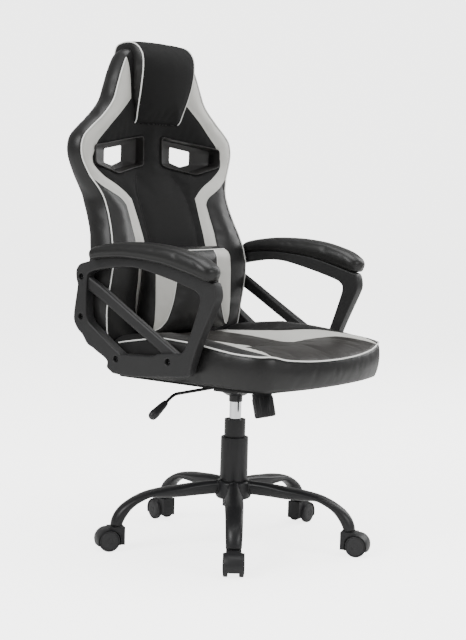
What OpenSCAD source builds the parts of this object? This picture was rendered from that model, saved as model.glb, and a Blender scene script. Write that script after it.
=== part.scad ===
// Racing-style office chair on a five-leg caster base with a gas lift and a tilt mechanism.
// Frame: +Z up, the chair faces -Y, +X is the sitter's left. Origin: on the floor, under the gas lift.

/* [Base] */
// Radius from the gas lift to each caster stem
base_r = 285; // [250:5:340]
// Diameter of the hub that the legs are welded to
hub_d = 84; // [76:1:100]
// Height of the hub
hub_h = 42; // [36:1:50]
// Height of the hub's underside over the floor
hub_z = 111; // [100:1:130]
// Widest width of a leg, over its flattened bend
leg_w = 43; // [34:1:50]

/* [Casters] */
// Diameter of a caster wheel
wheel_d = 50; // [46:1:54]
// Width of one caster wheel
wheel_w = 12; // [9:1:15]
// Gap between the two wheels of a caster
wheel_gap = 25; // [21:1:30]
// Distance of the wheel axle behind the stem
caster_trail = 20; // [16:1:22]
// Diameter of the caster stem
stem_d = 10.9; // [9:0.1:12]
// Diameter of the wheel axle
axle_d = 6; // [5:0.5:7]

/* [Gas lift] */
// Outer diameter of the fixed column tube
column_d = 50; // [46:1:54]
// Height of the column tube's mouth over the floor
column_top = 300; // [280:5:330]
// Outer diameter of the plastic column cover
cover_d = 65; // [60:1:70]
// Height of the column cover
cover_h = 105; // [90:5:120]
// Outer diameter of the chromed pressure tube
tube_d = 28; // [26:0.5:30]
// Travel left below the modelled seat height
lift_down = 40; // [20:5:40]
// Diameter of the piston rod
rod_d = 10; // [8:1:12]

/* [Mechanism] */
// Width of the mechanism housing
housing_w = 100; // [90:2:120]
// Sheet thickness of the housing and its socket
housing_t = 2.5; // [2:0.5:3]
// Diameter of the tilt pivot pin
pivot_d = 8; // [6:1:10]
// Width of the seat plate
plate_w = 176; // [160:2:210]
// Thickness of the seat plate
plate_t = 2.5; // [2:0.5:3]
// Diameter of the tension knob
knob_d = 50; // [44:1:56]
// Height of the tension knob
knob_h = 58; // [50:1:62]
// Lean of the tension knob's axis, foot forwards
knob_lean = 13.6; // [8:0.2:18]
// Diameter of the height lever's rod
lever_d = 7.5; // [6:0.5:8]
// Reach of the lever's straight rod from the column axis
lever_reach = 209; // [190:1:240]

/* [Seat] */
// Width of the seat cushion
seat_w = 504; // [460:2:600]
// Depth of the seat ahead of the column axis
seat_front = 287; // [260:1:330]
// Depth of the seat behind the column axis
seat_rear = 183; // [170:1:184]
// Extra height of the seat cushion's crown
seat_crown = 0; // [-10:1:20]
// Thickness of the plywood seat board
board_t = 12; // [10:1:16]

/* [Back] */
// Width of the back at the arms
back_w = 508; // [470:2:600]
// Width of the back at its waist
waist_w = 450; // [420:2:480]
// Width of the back at its shoulders
shoulder_w = 552; // [510:2:600]
// Width of the back's top
top_w = 224; // [210:2:250]
// Thickness of the plywood back board
back_board_t = 14; // [12:1:16]
// Width of the head cushion
head_w = 190; // [170:2:200]
// Width of the lumbar cushion
lumbar_w = 284; // [260:2:330]

/* [Arms] */
// Thickness of an arm frame across the chair
arm_t = 34; // [30:1:40]
// Width of an arm pad
pad_w = 63; // [54:1:70]
// Diameter of the bolts that hold the arms
arm_bolt_d = 6; // [5:0.5:8]

/* [Hidden] */
$fn = 64;
eps = 0.01;
far = 2000;
run_gap = 0.05;      // radial clearance of a running fit
bolt_gap = 0.3;      // radial clearance of a bolt's hole
leg_count = 5;
leg_angle = 218.37;  // direction of the first leg
leg_step = 360 / leg_count;

axle_z = wheel_d / 2;
caster_h = wheel_d + 6;
hood_r = wheel_d / 2 + 4.5;
bay_r = wheel_d / 2 + 1.5;
web_w = wheel_gap - 2;
caster_w = wheel_gap + 2 * wheel_w;
leg_tip_z = caster_h + 2;
socket_h = 24;
socket_d = stem_d + 11;

column_z = hub_z - 19;
column_wall = 1.8;
end_t = 3;
bearing_h = 3.5;
cover_z = hub_z + hub_h;
socket_z = column_top + 2 + lift_down;
tube_len = 227;
tube_z = socket_z + 27 - tube_len;
tube_wall = 1.5;
seal_h = 12;
piston_z = tube_z + 82;
valve_d = 8;

pivot_y = -22;
pivot_z = socket_z + 41;
seat_z = socket_z + 65;
plate_z = seat_z - plate_t;
lever_y = 16;
lever_z = socket_z + 37.5;
lever_bush_d = 14;
lever_x = -housing_w / 2;
knob_y = pivot_y - 50.1;
nose_z = socket_z + 42;
knob_gap = 14;
spring_d = 32;
spring_wire = 3.2;

arm_x = max(seat_w, back_w) / 2 + 1.5;
pad_x = arm_x - 2;
rail_x = seat_w / 2 - 14;
board_inset = 14;

// Helpers -------------------------------------------------------------------------------------

// A side outline drawn in Y and Z, pushed through X from x0 to x1
module side_plate(x0, x1) {
    translate([x0, 0, 0]) rotate([90, 0, 90]) linear_extrude(x1 - x0) children();
}

// A front outline drawn in X and Z, pushed through Y from y0 to y1
module front_plate(y0, y1) {
    translate([0, y1, 0]) rotate([90, 0, 0]) linear_extrude(y1 - y0) children();
}

// A round bar along X
module bar_x(x0, x1, d) {
    translate([x0, 0, 0]) rotate([0, 90, 0]) cylinder(h = x1 - x0, d = d);
}

// A round bar between two points
module bar(p, q, d) {
    v = q - p;
    l = norm(v);
    translate(p) rotate([0, acos(v[2] / l), atan2(v[1], v[0])]) cylinder(h = l, d = d);
}

module both_sides() {
    children();
    mirror([1, 0, 0]) children();
}

// Moves what is drawn for the first leg to leg k, counted from 0
module at_leg(k) {
    rotate([0, 0, leg_angle + k * leg_step]) children();
}

// Base ----------------------------------------------------------------------------------------

module base_hub() {
    r = hub_d / 2;
    edge = 7;
    color("#17171a")
    rotate_extrude() difference() {
        union() {
            translate([0, hub_z + edge]) square([r, hub_h - 2 * edge]);
            translate([0, hub_z]) square([r - edge, hub_h]);
            for (z = [hub_z + edge, hub_z + hub_h - edge]) translate([r - edge, z]) circle(edge);
        }
        translate([-far, 0]) square([far + column_d / 2, far]);
    }
}

// One leg's rings, from the hub to the caster: lower point, upper point, half width, pinch of the foot
hub_shift = hub_z - 111;
tip_shift = leg_tip_z - 58;
leg_rings = [
    [[34, 122], [34, 154], 0.56, 0.30],
    [[62, 121], [62, 153.5], 0.60, 0.32],
    [[95, 119.5], [95, 151.5], 0.74, 0.34],
    [[130, 117.5], [130, 147.5], 0.95, 0.34],
    [[160, 117.5], [161, 144.5], 1.00, 0.30],
    [[186, 118.5], [190, 140], 1.00, 0.24],
    [[206, 119], [215, 134.5], 0.98, 0.10],
    [[224, 112], [238, 126], 0.95, 0.04],
    [[240, 103], [256, 115.5], 0.92, 0],
    [[253, 92], [273, 102], 0.88, 0],
    [[262, 80], [286, 86], 0.83, 0],
    [[269, 68], [295, 70], 0.78, 0],
    [[272.5, 58], [298, 58], 0.76, 0]
];
ring_sides = 24;
ring_steps = 2;

// A leg point stretched from the drawn base to the chosen radius and heights
function leg_point(p) = [
    p[0] + (base_r - 285) * (p[0] - 34) / (285 - 34),
    p[1] + hub_shift * min(1, max(0, (p[1] - 58) / 53)) + tip_shift * min(1, max(0, (111 - p[1]) / 53))
];

// Smooth blend through four neighbouring values
function catmull(a, b, c, d, t) =
    0.5 * (2 * b + (c - a) * t + (2 * a - 5 * b + 4 * c - d) * t * t + (3 * b - 3 * c + d - a) * t * t * t);

function ring_at(i, t) =
    let(n = len(leg_rings) - 1, a = leg_rings[max(i - 1, 0)], b = leg_rings[i],
        c = leg_rings[min(i + 1, n)], d = leg_rings[min(i + 2, n)])
    [for (k = [0 : 3]) k < 2
        ? catmull(leg_point(a[k]), leg_point(b[k]), leg_point(c[k]), leg_point(d[k]), t)
        : catmull(a[k], b[k], c[k], d[k], t)];

function ring_points(ring) =
    let(mid = (ring[0] + ring[1]) / 2, up = (ring[1] - ring[0]) / 2, half = ring[2] * leg_w / 2, pinch = ring[3])
    [for (k = [0 : ring_sides - 1])
        let(a = 360 * k / ring_sides, s = sin(a),
            x = half * cos(a) * (s < 0 ? 1 + pinch * s : 1),
            rise = s < 0 ? s * (1 + pinch) + 0 : s * (1 - pinch),
            c = mid + up * (pinch + rise))
        [c[0], x, c[1]]];

module leg_body() {
    rings = [
        for (i = [0 : len(leg_rings) - 2]) for (s = [0 : ring_steps - 1]) ring_at(i, s / ring_steps),
        ring_at(len(leg_rings) - 1, 0)
    ];
    n = len(rings);
    m = ring_sides;
    points = [for (ring = rings) each ring_points(ring)];
    walls = [for (i = [0 : n - 2]) for (k = [0 : m - 1]) let(j = (k + 1) % m)
        each [[i * m + k, i * m + j, (i + 1) * m + j], [i * m + k, (i + 1) * m + j, (i + 1) * m + k]]];
    ends = [[for (k = [0 : m - 1]) m - 1 - k], [for (k = [0 : m - 1]) (n - 1) * m + k]];
    polyhedron(points, concat(walls, ends));
}

module leg(k) {
    color("#1a1a1c")
    at_leg(k) difference() {
        leg_body();
        translate([0, 0, hub_z - 20]) cylinder(h = hub_h + 40, d = hub_d, $fn = 128);
        translate([base_r, 0, leg_tip_z - 1]) cylinder(h = socket_h + 1, d = socket_d);
    }
}

module leg_sockets() {
    color("#2a2a2c")
    for (k = [0 : leg_count - 1]) at_leg(k) translate([base_r, 0, leg_tip_z]) difference() {
        cylinder(h = socket_h, d = socket_d);
        translate([0, 0, -1]) cylinder(h = socket_h - 1, d = stem_d + 2 * run_gap);
    }
}

// Gas lift ------------------------------------------------------------------------------------

module column_tube() {
    r = column_d / 2;
    color("#1c1c1e")
    rotate_extrude() {
        translate([r - column_wall, column_z]) square([column_wall, column_top - column_z]);
        translate([rod_d / 2 + run_gap, column_z]) square([r - rod_d / 2 - run_gap, end_t]);
    }
}

module column_cover() {
    r = cover_d / 2;
    wall = 2;
    lip = 2.5;
    color("#202022")
    rotate_extrude() {
        translate([0, cover_z]) polygon([
            [r - wall + 0.5, 0], [r + 0.5, 0], [r, cover_h - 1], [r - 1, cover_h],
            [column_d / 2 + bolt_gap, cover_h], [column_d / 2 + bolt_gap, cover_h - lip], [r - wall, cover_h - lip]
        ]);
    }
}

module guide_bush() {
    h = 60;
    slots = 12;
    slot_depth = 8;
    color("#2b2b2b")
    translate([0, 0, column_top - h - 1]) difference() {
        cylinder(h = h, d = column_d - 2 * column_wall);
        translate([0, 0, -1]) cylinder(h = h + 2, d = tube_d + 2 * run_gap);
        for (k = [0 : slots - 1]) rotate([0, 0, 360 * k / slots])
            translate([tube_d / 2 + 1.5, -1.6, h - slot_depth]) cube([6, 3.2, slot_depth + 1]);
    }
}

module thrust_bearing() {
    color("silver")
    translate([0, 0, column_z + end_t]) difference() {
        cylinder(h = bearing_h, d = 32);
        translate([0, 0, -1]) cylinder(h = bearing_h + 2, d = rod_d + 2 * run_gap);
    }
}

module piston_rod() {
    washer_z = column_z + end_t + bearing_h + bolt_gap;
    piston_h = 10;
    color("#c8cacc") {
        translate([0, 0, column_z - 4]) cylinder(h = piston_z + piston_h + 2 - column_z + 4, d = rod_d);
        translate([0, 0, washer_z]) cylinder(h = 2.2, d = 30);
        translate([0, 0, piston_z]) cylinder(h = piston_h, d = tube_d - 2 * tube_wall - 2 * run_gap);
    }
}

module rod_clip() {
    color("#8f9295")
    translate([0, 0, column_z - 3]) difference() {
        cylinder(h = 2.7, d = 18);
        translate([0, 0, -1]) cylinder(h = 5, d = rod_d);
    }
}

module pressure_tube() {
    crown = 6;
    color("#dfe1e3")
    rotate_extrude() {
        translate([tube_d / 2 - tube_wall, tube_z]) square([tube_wall, tube_len]);
        translate([valve_d / 2 + run_gap, tube_z + tube_len - crown])
            square([tube_d / 2 - valve_d / 2 - run_gap, crown]);
    }
}

module rod_seal() {
    color("#303030")
    translate([0, 0, tube_z]) difference() {
        cylinder(h = seal_h, d = tube_d - 2 * tube_wall);
        translate([0, 0, -1]) cylinder(h = seal_h + 2, d = rod_d + 2 * run_gap);
    }
}

module valve_pin() {
    color("#b9bbbd")
    translate([0, 0, socket_z + 3]) cylinder(h = 30.3, d = valve_d);
}

// Mechanism -----------------------------------------------------------------------------------

// Height of the plane across the knob's axis at the nose, over the socket's foot
function nose_at(y) = nose_z - socket_z - (y - knob_y) * tan(knob_lean);

// Side outline of the housing, in Y and Z over its socket's foot
nose_foot = -50;
dish_front = -41;
housing_line = [
    [-110, nose_at(-110)], [-110, 57], [pivot_y, 58], [28, 47], [28, 26], [dish_front, 26], [nose_foot, nose_at(nose_foot)]
];

module knob_axis() {
    translate([0, knob_y, nose_z]) rotate([180 - knob_lean, 0, 0]) children();
}

module mechanism_housing() {
    t = housing_t;
    half = housing_w / 2;
    socket_r = tube_d / 2 + 2;
    bowl_r = 40;
    color("#141416")
    difference() {
        union() {
            translate([0, 0, socket_z]) difference() {
                side_plate(-half, half) polygon(housing_line);
                side_plate(-half + t, half - t) difference() {
                    polygon(concat([[-110, 70], [28, 70]], [for (i = [3 : 6]) housing_line[i]], [housing_line[0]]));
                    polygon([[-120, 0], [-120, 90], [-110 + t, 90], [-110 + t, nose_at(-110 + t) + t],
                        [nose_foot + 0.5 * t, nose_at(nose_foot) + t], [dish_front + 0.5 * t, 26 + t],
                        [28 - t, 26 + t], [28 - t, 90], [40, 90], [40, 0]]);
                }
                translate([0, 0, 26 - 1]) cylinder(h = t + 2, r = bowl_r - t);
            }
            intersection() {
                translate([0, 0, socket_z]) rotate_extrude() polygon([
                    [tube_d / 2, 0], [socket_r, 0], [socket_r, 14], [22, 15], [bowl_r, 26], [bowl_r, 26 + t],
                    [bowl_r - t, 26 + t], [22 - t / 2, 15 + t], [socket_r, 14 + t], [socket_r, 27], [tube_d / 2, 27]
                ]);
                translate([-far / 2, -far / 2, 0]) cube([far, far / 2 + 28, far]);
            }
        }
        translate([0, pivot_y, pivot_z]) bar_x(-half - 1, half + 1, pivot_d);
        translate([0, lever_y, lever_z]) bar_x(-half - 1, -half + t + 1, lever_bush_d + 2 * run_gap);
        knob_axis() translate([0, 0, -6]) cylinder(h = 12, d = 10);
    }
}

module tilt_pin() {
    half = housing_w / 2;
    ear = 2;
    head_x = half + ear + plate_t + bolt_gap;
    color("#c9cbcd")
    translate([0, pivot_y, pivot_z]) {
        bar_x(-head_x, head_x, pivot_d);
        both_sides() bar_x(head_x, head_x + 2.5, pivot_d + 4);
    }
}

module tension_bolt() {
    length = knob_gap + knob_h - 2;
    color("#a9abad")
    knob_axis() {
        translate([0, 0, -12]) cylinder(h = length + 12, d = 8);
        translate([0, 0, -17]) cylinder(h = 4, d = 18);
    }
}

module tension_knob() {
    flutes = 18;
    wall = 3.5;
    color("#161618")
    knob_axis() translate([0, 0, knob_gap]) difference() {
        union() {
            cylinder(h = 12, d = knob_d - 3);
            translate([0, 0, 12]) cylinder(h = knob_h - 15, d = knob_d);
            translate([0, 0, knob_h - 3]) cylinder(h = 3, d1 = knob_d, d2 = knob_d - 6);
        }
        translate([0, 0, -1]) cylinder(h = knob_h - 5, d = knob_d - 3 - 2 * wall);
        cylinder(h = 3 * knob_h, d = 8 + 2 * run_gap, center = true);
        for (k = [0 : flutes - 1]) rotate([0, 0, 360 * k / flutes])
            translate([knob_d / 2 + 0.9, 0, 12]) cylinder(h = knob_h, r = 2, $fn = 24);
    }
}

// The coil's points around the knob's axis, one ring per step
coil_turns = 6;
coil_rings = 96;
coil_sides = 8;
coil_len = knob_gap + knob_h - 6 - spring_wire - 0.4;

module tension_spring() {
    r = spring_d / 2 - spring_wire / 2;
    rise = coil_len / (360 * coil_turns);
    pitch = atan2(coil_len / coil_turns, 2 * PI * r);
    points = [for (i = [0 : coil_rings]) let(a = 360 * coil_turns * i / coil_rings)
        for (k = [0 : coil_sides - 1]) let(b = 360 * k / coil_sides,
            out = spring_wire / 2 * cos(b), up = spring_wire / 2 * sin(b) * cos(pitch),
            back = -spring_wire / 2 * sin(b) * sin(pitch))
        [(r + out) * cos(a) - back * sin(a), (r + out) * sin(a) + back * cos(a),
            spring_wire / 2 + 0.15 + rise * a + up]];
    m = coil_sides;
    walls = [for (i = [0 : coil_rings - 1]) for (k = [0 : m - 1]) let(j = (k + 1) % m)
        each [[i * m + k, (i + 1) * m + j, i * m + j], [i * m + k, (i + 1) * m + k, (i + 1) * m + j]]];
    ends = [[for (k = [0 : m - 1]) k], [for (k = [0 : m - 1]) coil_rings * m + m - 1 - k]];
    color("#9a9c9e")
    knob_axis() polyhedron(points, concat(walls, ends));
}

// Height lever --------------------------------------------------------------------------------

grip_drop = 29.5;      // slope of the grip, in degrees
grip_start = 31;       // distance of the grip from the bend
grip_len = 60;
lever_bend = [-lever_reach, lever_y, lever_z - 2];
grip_way = [-cos(grip_drop), 0, -sin(grip_drop)];
lever_pin_d = 2.5;

module lever_bush() {
    len = 14;
    color("#3a3a3c")
    translate([lever_x, lever_y, lever_z]) {
        difference() {
            translate([0.5, 0, 0]) bar_x(-len / 2, len / 2, lever_bush_d);
            cube([2 * len, lever_d + 4 * run_gap, lever_d + 2.2], center = true);
            rotate([90, 0, 0]) cylinder(h = 30, d = lever_pin_d, center = true);
        }
        rotate([90, 0, 0]) cylinder(h = lever_bush_d - 1.6, d = lever_pin_d, center = true);
    }
}

// The rod's route: the paddle end over the valve pin, the bush, the bend and the grip
function unit(v) = v / norm(v);
function corner(p, q, s, r) =
    let(a = q + r * unit(p - q), b = q + r * unit(s - q))
    [for (t = [0 : 0.25 : 1]) (1 - t) * (1 - t) * a + 2 * t * (1 - t) * q + t * t * b];

lever_tip = [4, 0, lever_z];
lever_inner = [lever_x + 14, lever_y, lever_z];
lever_end = lever_bend + (grip_start + 25) * grip_way;
lever_route = [
    lever_tip, each corner(lever_tip, lever_inner, lever_bend, 7),
    each corner(lever_inner, lever_bend, lever_end, 15), lever_end
];
lever_sides = 20;

module lever_rod() {
    n = len(lever_route);
    m = lever_sides;
    points = [for (i = [0 : n - 1])
        let(way = unit(lever_route[min(i + 1, n - 1)] - lever_route[max(i - 1, 0)]),
            side = unit(cross([0, 0, 1], way)), up = cross(way, side))
        for (k = [0 : m - 1]) let(a = 360 * k / m)
            lever_route[i] + lever_d / 2 * (cos(a) * side + sin(a) * up)];
    walls = [for (i = [0 : n - 2]) for (k = [0 : m - 1]) let(j = (k + 1) % m)
        each [[i * m + k, (i + 1) * m + j, i * m + j], [i * m + k, (i + 1) * m + k, (i + 1) * m + j]]];
    ends = [[for (k = [0 : m - 1]) k], [for (k = [0 : m - 1]) n * m - 1 - k]];
    color("#121214")
    difference() {
        polyhedron(points, concat(walls, ends));
        translate([lever_x, lever_y, lever_z]) rotate([90, 0, 0])
            cylinder(h = 30, d = lever_pin_d + 2 * run_gap, center = true);
    }
}

module lever_grip() {
    start = lever_bend + grip_start * grip_way;
    color("#1b1b1d")
    translate(start) rotate([0, 270 - grip_drop, 0]) difference() {
        rotate_extrude() polygon([
            [0, 0], [6, 0], [7.5, 3], [8.6, 14], [10.2, 34], [10.8, 46], [10, 54], [7, 58.5], [3, grip_len], [0, grip_len]
        ]);
        translate([0, 0, -1]) cylinder(h = 26, d = lever_d);
    }
}

// Casters -------------------------------------------------------------------------------------
// Drawn with the stem on the Z axis and the wheels trailing towards +X

module at_caster(k) {
    at_leg(k) translate([base_r, 0, 0]) children();
}

module on_axle() {
    translate([caster_trail, 0, axle_z]) rotate([90, 0, 0]) children();
}

module caster_hood(k) {
    skirt_z = 14;
    neck_w = 34;
    front = 17.5;
    crown = 2.5;
    color("#1d1d1f")
    at_caster(k) difference() {
        union() {
            on_axle() rotate_extrude() polygon([
                [0, -caster_w / 2], [hood_r - crown - 1, -caster_w / 2], [hood_r - crown, -caster_w / 2 + 1],
                [hood_r - 0.6, -caster_w / 4], [hood_r, 0], [hood_r - 0.6, caster_w / 4],
                [hood_r - crown, caster_w / 2 - 1], [hood_r - crown - 1, caster_w / 2], [0, caster_w / 2]
            ]);
            translate([-front, -neck_w / 2, skirt_z]) cube([front + caster_trail, neck_w, caster_h - skirt_z]);
        }
        translate([-far / 2, -far / 2, skirt_z - far]) cube([far, far, far]);
        for (s = [-1, 1]) on_axle() translate([0, 0, s * (web_w / 2 + 20)])
            cylinder(h = 40, r = bay_r, center = true);
        on_axle() cylinder(h = far, d = axle_d, center = true);
        translate([0, 0, caster_h - 18]) cylinder(h = 20, d = stem_d);
    }
}

module caster_pins(k) {
    color("#b4b6b8")
    at_caster(k) {
        translate([0, 0, caster_h - 18]) cylinder(h = 18 + 2 + socket_h - 4, d = stem_d);
        on_axle() cylinder(h = caster_w - 3, d = axle_d, center = true);
    }
}

// side is 1 for the wheel on the left of the trail and -1 for the other
module wheel(k, side) {
    r = wheel_d / 2;
    w = wheel_w;
    bore = axle_d / 2 + run_gap;
    color("#222224")
    at_caster(k) on_axle() rotate([side < 0 ? 180 : 0, 0, 0]) translate([0, 0, wheel_gap / 2])
    rotate_extrude() polygon([
        [bore, 0], [r - 1.5, 0], [r, 1.5], [r, w - 3], [r - 1.2, w - 1.2], [r - 2.4, w - 1],
        [r - 3, w - 1.8], [r - 3.8, w - 0.8], [r - 8, w - 0.2], [0, w], [0, w - 1.2], [bore, w - 1.2]
    ]);
}

// Seat ----------------------------------------------------------------------------------------

module on_seat() {
    translate([0, 0, seat_z]) children();
}

// Outline of the seat from above, pulled in by an inset
module seat_plan(inset) {
    corner = 60;
    bow = 130;
    half = seat_w / 2;
    offset(delta = -inset) hull() {
        for (s = [-1, 1]) {
            translate([s * (half - corner - 2), -seat_front + corner + 22]) circle(corner);
            translate([s * (half - corner), -40]) circle(corner);
            translate([s * (half - 38), seat_rear - 38]) circle(38);
        }
        translate([0, -seat_front + bow]) circle(bow, $fn = 96);
    }
}

// Side outline of the seat's top, in Y and Z over the seat plate
seat_line = [
    [-seat_front - 5, 58], [-seat_front + 10, 70], [-250, 78], [-200, 88], [-140, 97], [-60, 104 + seat_crown],
    [10, 106 + seat_crown], [70, 101 + seat_crown], [130, 91], [seat_rear + 5, 79]
];
rim_drop = 1;
dust_t = 1;
board_z = dust_t;
rail_t = 18;
rail_h = 54;

module seat_plate() {
    half = plate_w / 2;
    ear_x = housing_w / 2 + 2;
    strap_w = 45;
    strap_y0 = knob_y - 12;
    strap_y1 = knob_y + 16;
    lift = 1 / cos(knob_lean);
    color("#101012")
    difference() {
        union() {
            translate([-half, -125, plate_z]) cube([plate_w, 220, plate_t]);
            both_sides() side_plate(ear_x, ear_x + plate_t)
                polygon([[-42, plate_z + eps], [-2, plate_z + eps], [-12, pivot_z - 9], [-32, pivot_z - 9]]);
            both_sides() side_plate(half - plate_t, half) polygon([
                [-125, plate_z + eps], [95, plate_z + eps], [88, plate_z - 5], [-118, plate_z - 5]
            ]);
            translate([0, 0, socket_z]) side_plate(-strap_w / 2, strap_w / 2) polygon([
                for (p = [[strap_y0, 7], [strap_y1, 7], [strap_y1, 7 + plate_t], [strap_y0, 7 + plate_t]])
                    [p[0], nose_at(p[0]) + p[1] * lift]
            ]);
            translate([0, 0, socket_z]) both_sides() side_plate(strap_w / 2 - plate_t, strap_w / 2) polygon([
                [strap_y0, nose_at(strap_y0) + 8 * lift], [strap_y1, nose_at(strap_y1) + 8 * lift],
                [strap_y1, plate_z - socket_z + eps], [strap_y0, plate_z - socket_z + eps]
            ]);
        }
        translate([0, pivot_y, pivot_z]) bar_x(-far / 2, far / 2, pivot_d + 2 * run_gap);
        knob_axis() translate([0, 0, -12]) cylinder(h = 10, d = 13);
        seat_bolt_places() cylinder(h = far, d = seat_bolt_d + 2 * bolt_gap, center = true);
    }
}

seat_bolt_d = 6;

module seat_bolt_places() {
    for (x = [-1, 1], y = [-100, 72]) translate([x * (plate_w / 2 - 18), y, 0]) children();
}

// Four bolts with the tee nuts on top of the board
module seat_bolts() {
    top = seat_z + board_z + board_t;
    color("#8d8f91")
    seat_bolt_places() {
        translate([0, 0, plate_z - 4]) cylinder(h = 4, d = 10, $fn = 6);
        translate([0, 0, plate_z - 1]) cylinder(h = top - plate_z, d = seat_bolt_d);
        translate([0, 0, top]) difference() {
            cylinder(h = 1.5, d = 18);
            translate([0, 0, -1]) cylinder(h = 4, d = seat_bolt_d);
        }
    }
}

module dust_cover() {
    color("#0c0c0d")
    on_seat() difference() {
        linear_extrude(dust_t) seat_plan(board_inset);
        seat_bolt_places() cylinder(h = 10, d = seat_bolt_d + 2 * bolt_gap, center = true);
    }
}

module seat_frame_solid() {
    on_seat() {
        translate([0, 0, board_z]) linear_extrude(board_t) seat_plan(board_inset);
        both_sides() translate([rail_x - rail_t, -70, board_z + board_t]) cube([rail_t, 214, rail_h]);
    }
}

module seat_frame() {
    color("#a98352")
    difference() {
        seat_frame_solid();
        seat_bolt_places() cylinder(h = far, d = seat_bolt_d, center = true);
        seat_arm_bolts() bar_x(-60, 0, arm_bolt_d);
    }
}

module seat_cushion() {
    color("#1b1b1c")
    difference() {
        intersection() {
            on_seat() translate([0, 0, -rim_drop]) linear_extrude(160) seat_plan(0);
            on_seat() side_plate(-far / 2, far / 2) polygon(concat(
                [[-seat_front - 5, -rim_drop]], seat_line, [[seat_rear + 5, -rim_drop]]
            ));
        }
        on_seat() translate([0, 0, -10]) linear_extrude(10 + board_z + board_t) seat_plan(board_inset);
        seat_frame_solid();
        seat_bolt_places() translate([0, 0, seat_z + board_z + board_t - 1]) cylinder(h = 3.5, d = 18.4);
        seat_arm_bolts() bar_x(-60, 0, arm_bolt_d + 2 * bolt_gap);
    }
}

// Back ----------------------------------------------------------------------------------------

back_z = 48;       // foot of the back over the seat plate
back_top = 766;    // top of the back over the seat plate

// Side outlines of the back, in Y and Z over the seat plate: front from foot to top, then rear
back_front = [
    [192, back_z], [190, 73], [187, 143], [180, 195], [173, 240], [177, 278], [189, 318], [206, 360], [231, 423],
    [247, 460], [252, 493], [252, 598], [257, 668], [262, 740], [267, back_top]
];
back_rear = [[304, back_top], [311, 740], [310, 690], [306, 598], [302, 500], [301, 423], [277, 353], [254, 283], [248, back_z]];

// Right half of the back's outline, in X and Z over the seat plate
function back_half(grow = 0) = [
    [back_w / 2 - 24, back_z], [back_w / 2 - 10, back_z + 12], [back_w / 2 - 4, 130], [back_w / 2, 178],
    [back_w / 2 - 4, 235], [back_w / 2 - 10, 285], [waist_w / 2 + 4, 345], [waist_w / 2, 388], [waist_w / 2 + 5, 423],
    [shoulder_w / 2 - 21, 458], [shoulder_w / 2 - 3, 495], [shoulder_w / 2, 525], [shoulder_w / 2 - 13, 553],
    [top_w / 2 + 92, 600], [top_w / 2 + 56, 636], [top_w / 2 + 42, 668], [top_w / 2 + 25, 705],
    [top_w / 2 + 8, 742], [top_w / 2 - 6, 760], [top_w / 2 - 24, back_top]
];

module back_outline(inset) {
    half = back_half();
    offset(delta = -inset)
        polygon(concat(half, [for (i = [len(half) - 1 : -1 : 0]) [-half[i][0], half[i][1]]]));
}

// Outline of the opening on the +X side, in X and Z over the seat plate
vent_line = [[35, 486], [35, 555], [229, 529], [229, 485], [145, 464]];
vent_window = [[85, 493], [85, 531], [172, 519], [172, 489], [130, 482]];
vent_wall = 3;

module vent_cut() {
    both_sides() front_plate(0, 500) offset(delta = vent_wall) polygon(vent_line);
}

board_skin = 8;

module back_solid() {
    intersection() {
        on_seat() side_plate(-far / 2, far / 2) polygon(concat(back_front, back_rear));
        on_seat() front_plate(0, 500) back_outline(0);
    }
}

module back_board_solid() {
    rear = [for (p = back_rear) [p[0] - board_skin, min(p[1], back_top - 16)]];
    front = [for (i = [len(rear) - 1 : -1 : 0]) [rear[i][0] - back_board_t, rear[i][1]]];
    intersection() {
        on_seat() side_plate(-far / 2, far / 2) polygon(concat(front, rear));
        on_seat() front_plate(0, 500) back_outline(board_inset);
    }
}

module back_frame() {
    color("#a98352")
    difference() {
        back_board_solid();
        on_seat() vent_cut();
        back_arm_bolts() bar_x(-60, 0, arm_bolt_d);
    }
}

module back_cushion() {
    color("#1b1b1c")
    difference() {
        back_solid();
        back_board_solid();
        on_seat() vent_cut();
        back_arm_bolts() bar_x(-60, 0, arm_bolt_d + 2 * bolt_gap);
    }
}

// Plastic lining of one opening: a sleeve with a smaller window in a plate
module vent(side) {
    plate_y = 276;
    rear_y = 300;
    rim_y = 256;
    color("#1e1e20")
    mirror([side < 0 ? 1 : 0, 0, 0]) on_seat() difference() {
        front_plate(rim_y, rear_y) offset(delta = vent_wall) polygon(vent_line);
        front_plate(rim_y - 1, plate_y) polygon(vent_line);
        front_plate(plate_y + 4, rear_y + 1) difference() {
            polygon(vent_line);
            offset(delta = vent_wall) polygon(vent_window);
        }
        front_plate(0, 500) polygon(vent_window);
    }
}

// The lumbar cushion rests on the back's front line
module lumbar_cushion() {
    half = lumbar_w / 2;
    foot = 96;
    top = 292;
    color("#202021")
    on_seat() difference() {
        side_plate(-half, half) polygon([
            [200, foot], [132, foot], [124, foot + 12], [121, 160], [122, 240], [128, top - 10], [140, top], [200, top]
        ]);
        side_plate(-half - 1, half + 1) polygon(concat(back_front, back_rear));
    }
}

// The head cushion wraps over the back's top
module head_cushion() {
    half = head_w / 2;
    color("#1a1a1b")
    on_seat() difference() {
        side_plate(-half, half) polygon([
            [270, 583], [247, 584], [238, 615], [228, 660], [222, 700], [221, 728], [229, 752], [248, 770],
            [272, 777], [300, 774], [318, 764], [322, 745], [320, 700], [310, 690]
        ]);
        side_plate(-half - 1, half + 1) polygon(concat(back_front, back_rear));
    }
}

// Arms ----------------------------------------------------------------------------------------

// Bolt centres in Y and Z over the seat plate
seat_bolt_spots = [[124, 47], [-29, 55]];
back_bolt_spots = [[235, 227], [235, 135]];
head_depth = 12;
head_d = 12;

module seat_arm_bolts() {
    on_seat() both_sides() for (p = seat_bolt_spots) translate([arm_x, p[0], p[1]]) children();
}

module back_arm_bolts() {
    on_seat() both_sides() for (p = back_bolt_spots) translate([arm_x, p[0], p[1]]) children();
}

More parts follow.
